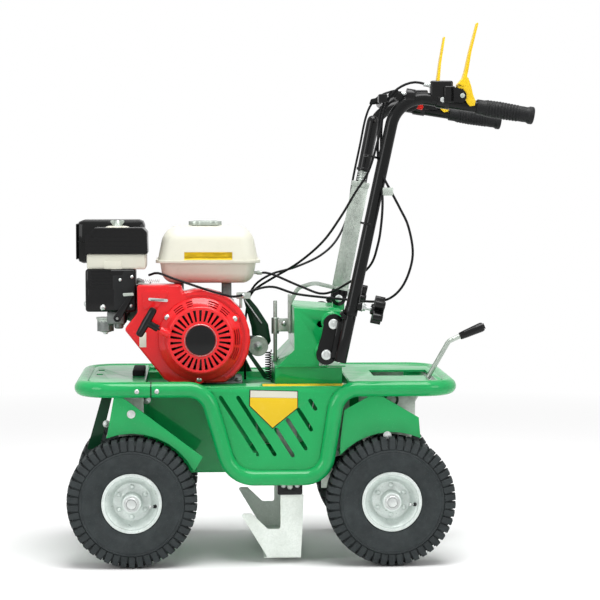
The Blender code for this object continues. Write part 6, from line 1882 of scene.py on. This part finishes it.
def seen_rays(tree: bpy.types.NodeTree) -> Socket:
    """Is 1 for what the camera sees, straight or in a reflection or through glass."""
    path = tree.nodes.new("ShaderNodeLightPath")
    total = path.outputs["Is Camera Ray"]
    for kind in ("Is Glossy Ray", "Is Transmission Ray"):
        add = tree.nodes.new("ShaderNodeMath")
        add.operation = "MAXIMUM"
        tree.links.new(total, add.inputs[0])
        tree.links.new(path.outputs[kind], add.inputs[1])
        total = add.outputs["Value"]
    return total


def mixed(tree: bpy.types.NodeTree, share: Socket, first: Socket, second: Socket) -> Socket:
    """Mix two shaders by a grey value."""
    node = tree.nodes.new("ShaderNodeMixShader")
    for place, source in enumerate((share, first, second)):
        tree.links.new(source, node.inputs[place])
    return node.outputs["Shader"]


@dataclass
class Studio:
    """Pale floor that fades into a white surround, soft lamps, and the photograph's camera."""

    lens: float = 120.0
    sensor: float = 36.0
    distance: float = 4.22
    eye_height: float = 0.793
    pitch: float = 3.576
    yaw: float = 2.857
    floor_reach: float = 9.0
    surround: float = 0.42

    def build_floor(self) -> None:
        """Lay the floor: it takes the machine's shadow near by and turns white further out."""
        only()
        bpy.ops.mesh.primitive_circle_add(vertices=96, radius=self.floor_reach, fill_type="NGON")
        floor = named("studio_floor")
        recipe = Recipe("pale_floor", "F7F7F7", 0.55)
        recipe.set("Specular IOR Level", 0.35)
        tree = recipe.tree
        away = recipe.add("VectorMath", vector=recipe.place)
        away.operation = "LENGTH"
        near = recipe.spread(away.outputs["Value"], 1.1, 3.2, 1.0, 0.0)
        white = recipe.add("Emission", color=WHITE, strength=1.0)
        plain = mixed(tree, near, white.outputs["Emission"], recipe.shader.outputs["BSDF"])
        seen = mixed(tree, seen_rays(tree), recipe.shader.outputs["BSDF"], plain)
        tree.links.new(seen, tree.nodes["Material Output"].inputs["Surface"])
        floor.data.materials.append(recipe.material)

    def build_world(self) -> None:
        """Surround that looks white and gives the object a plain soft light."""
        world = bpy.data.worlds.new("studio_surround")
        bpy.context.scene.world = world
        world.use_nodes = True
        tree = world.node_tree
        tree.nodes.clear()
        glows = []
        for strength in (self.surround, 1.0):
            glow = tree.nodes.new("ShaderNodeBackground")
            glow.inputs["Color"].default_value = WHITE
            glow.inputs["Strength"].default_value = strength
            glows.append(glow.outputs["Background"])
        out = tree.nodes.new("ShaderNodeOutputWorld")
        tree.links.new(mixed(tree, seen_rays(tree), *glows), out.inputs["Surface"])

    def add_lamp(self, name: str, place: Point, target: Point, size: float, power: float) -> None:
        """Hang a square soft box that faces a target.

        Args:
            name: Name of the lamp.
            place: Its centre.
            target: Point that it faces.
            size: Length of its sides.
            power: Its power in watts.
        """
        only()
        aim = Vector(target) - Vector(place)
        bpy.ops.object.light_add(
            type="AREA", location=place, rotation=aim.to_track_quat("-Z", "Y").to_euler())
        lamp = bpy.context.object
        lamp.name = name
        lamp.data.shape = "SQUARE"
        lamp.data.size = size
        lamp.data.energy = power

    def build_camera(self) -> None:
        """Stand the camera at the near side, a little ahead of the machine's middle and looking down."""
        place = at(0.0, -self.distance, self.eye_height)
        turn = (radians(90.0 - self.pitch), 0.0, radians(-self.yaw))
        only()
        bpy.ops.object.camera_add(location=place, rotation=turn)
        camera = bpy.context.object
        camera.name = "studio_camera"
        camera.data.lens = self.lens
        camera.data.sensor_width = self.sensor
        camera.data.clip_end = 60.0
        bpy.context.scene.camera = camera

    def build(self) -> None:
        """Set up floor, surround, lamps and camera."""
        self.build_camera()
        self.build_floor()
        self.build_world()
        self.add_lamp("overhead_box", (0.2, -0.6, 3.4), (0.0, 0.0, 0.4), 2.2, 135.0)
        self.add_lamp("left_box", (-2.9, -2.4, 1.7), (0.0, 0.0, 0.5), 1.8, 42.0)
        self.add_lamp("right_box", (2.8, -2.6, 1.9), (0.0, 0.0, 0.5), 1.6, 30.0)
        view = bpy.context.scene.view_settings
        view.view_transform = "Standard"


def main() -> None:
    """Build every sub-assembly in order."""
    logging.basicConfig(level=logging.INFO, format="%(message)s")
    Studio().build()
    materials = {finish: formula.build() for finish, formula in FORMULAS.items()}
    for assembly in (TubeFrame, Wheels, Engine, Handlebar, Controls, Cables):
        assembly(materials).build()


if __name__ == "__main__":
    main()
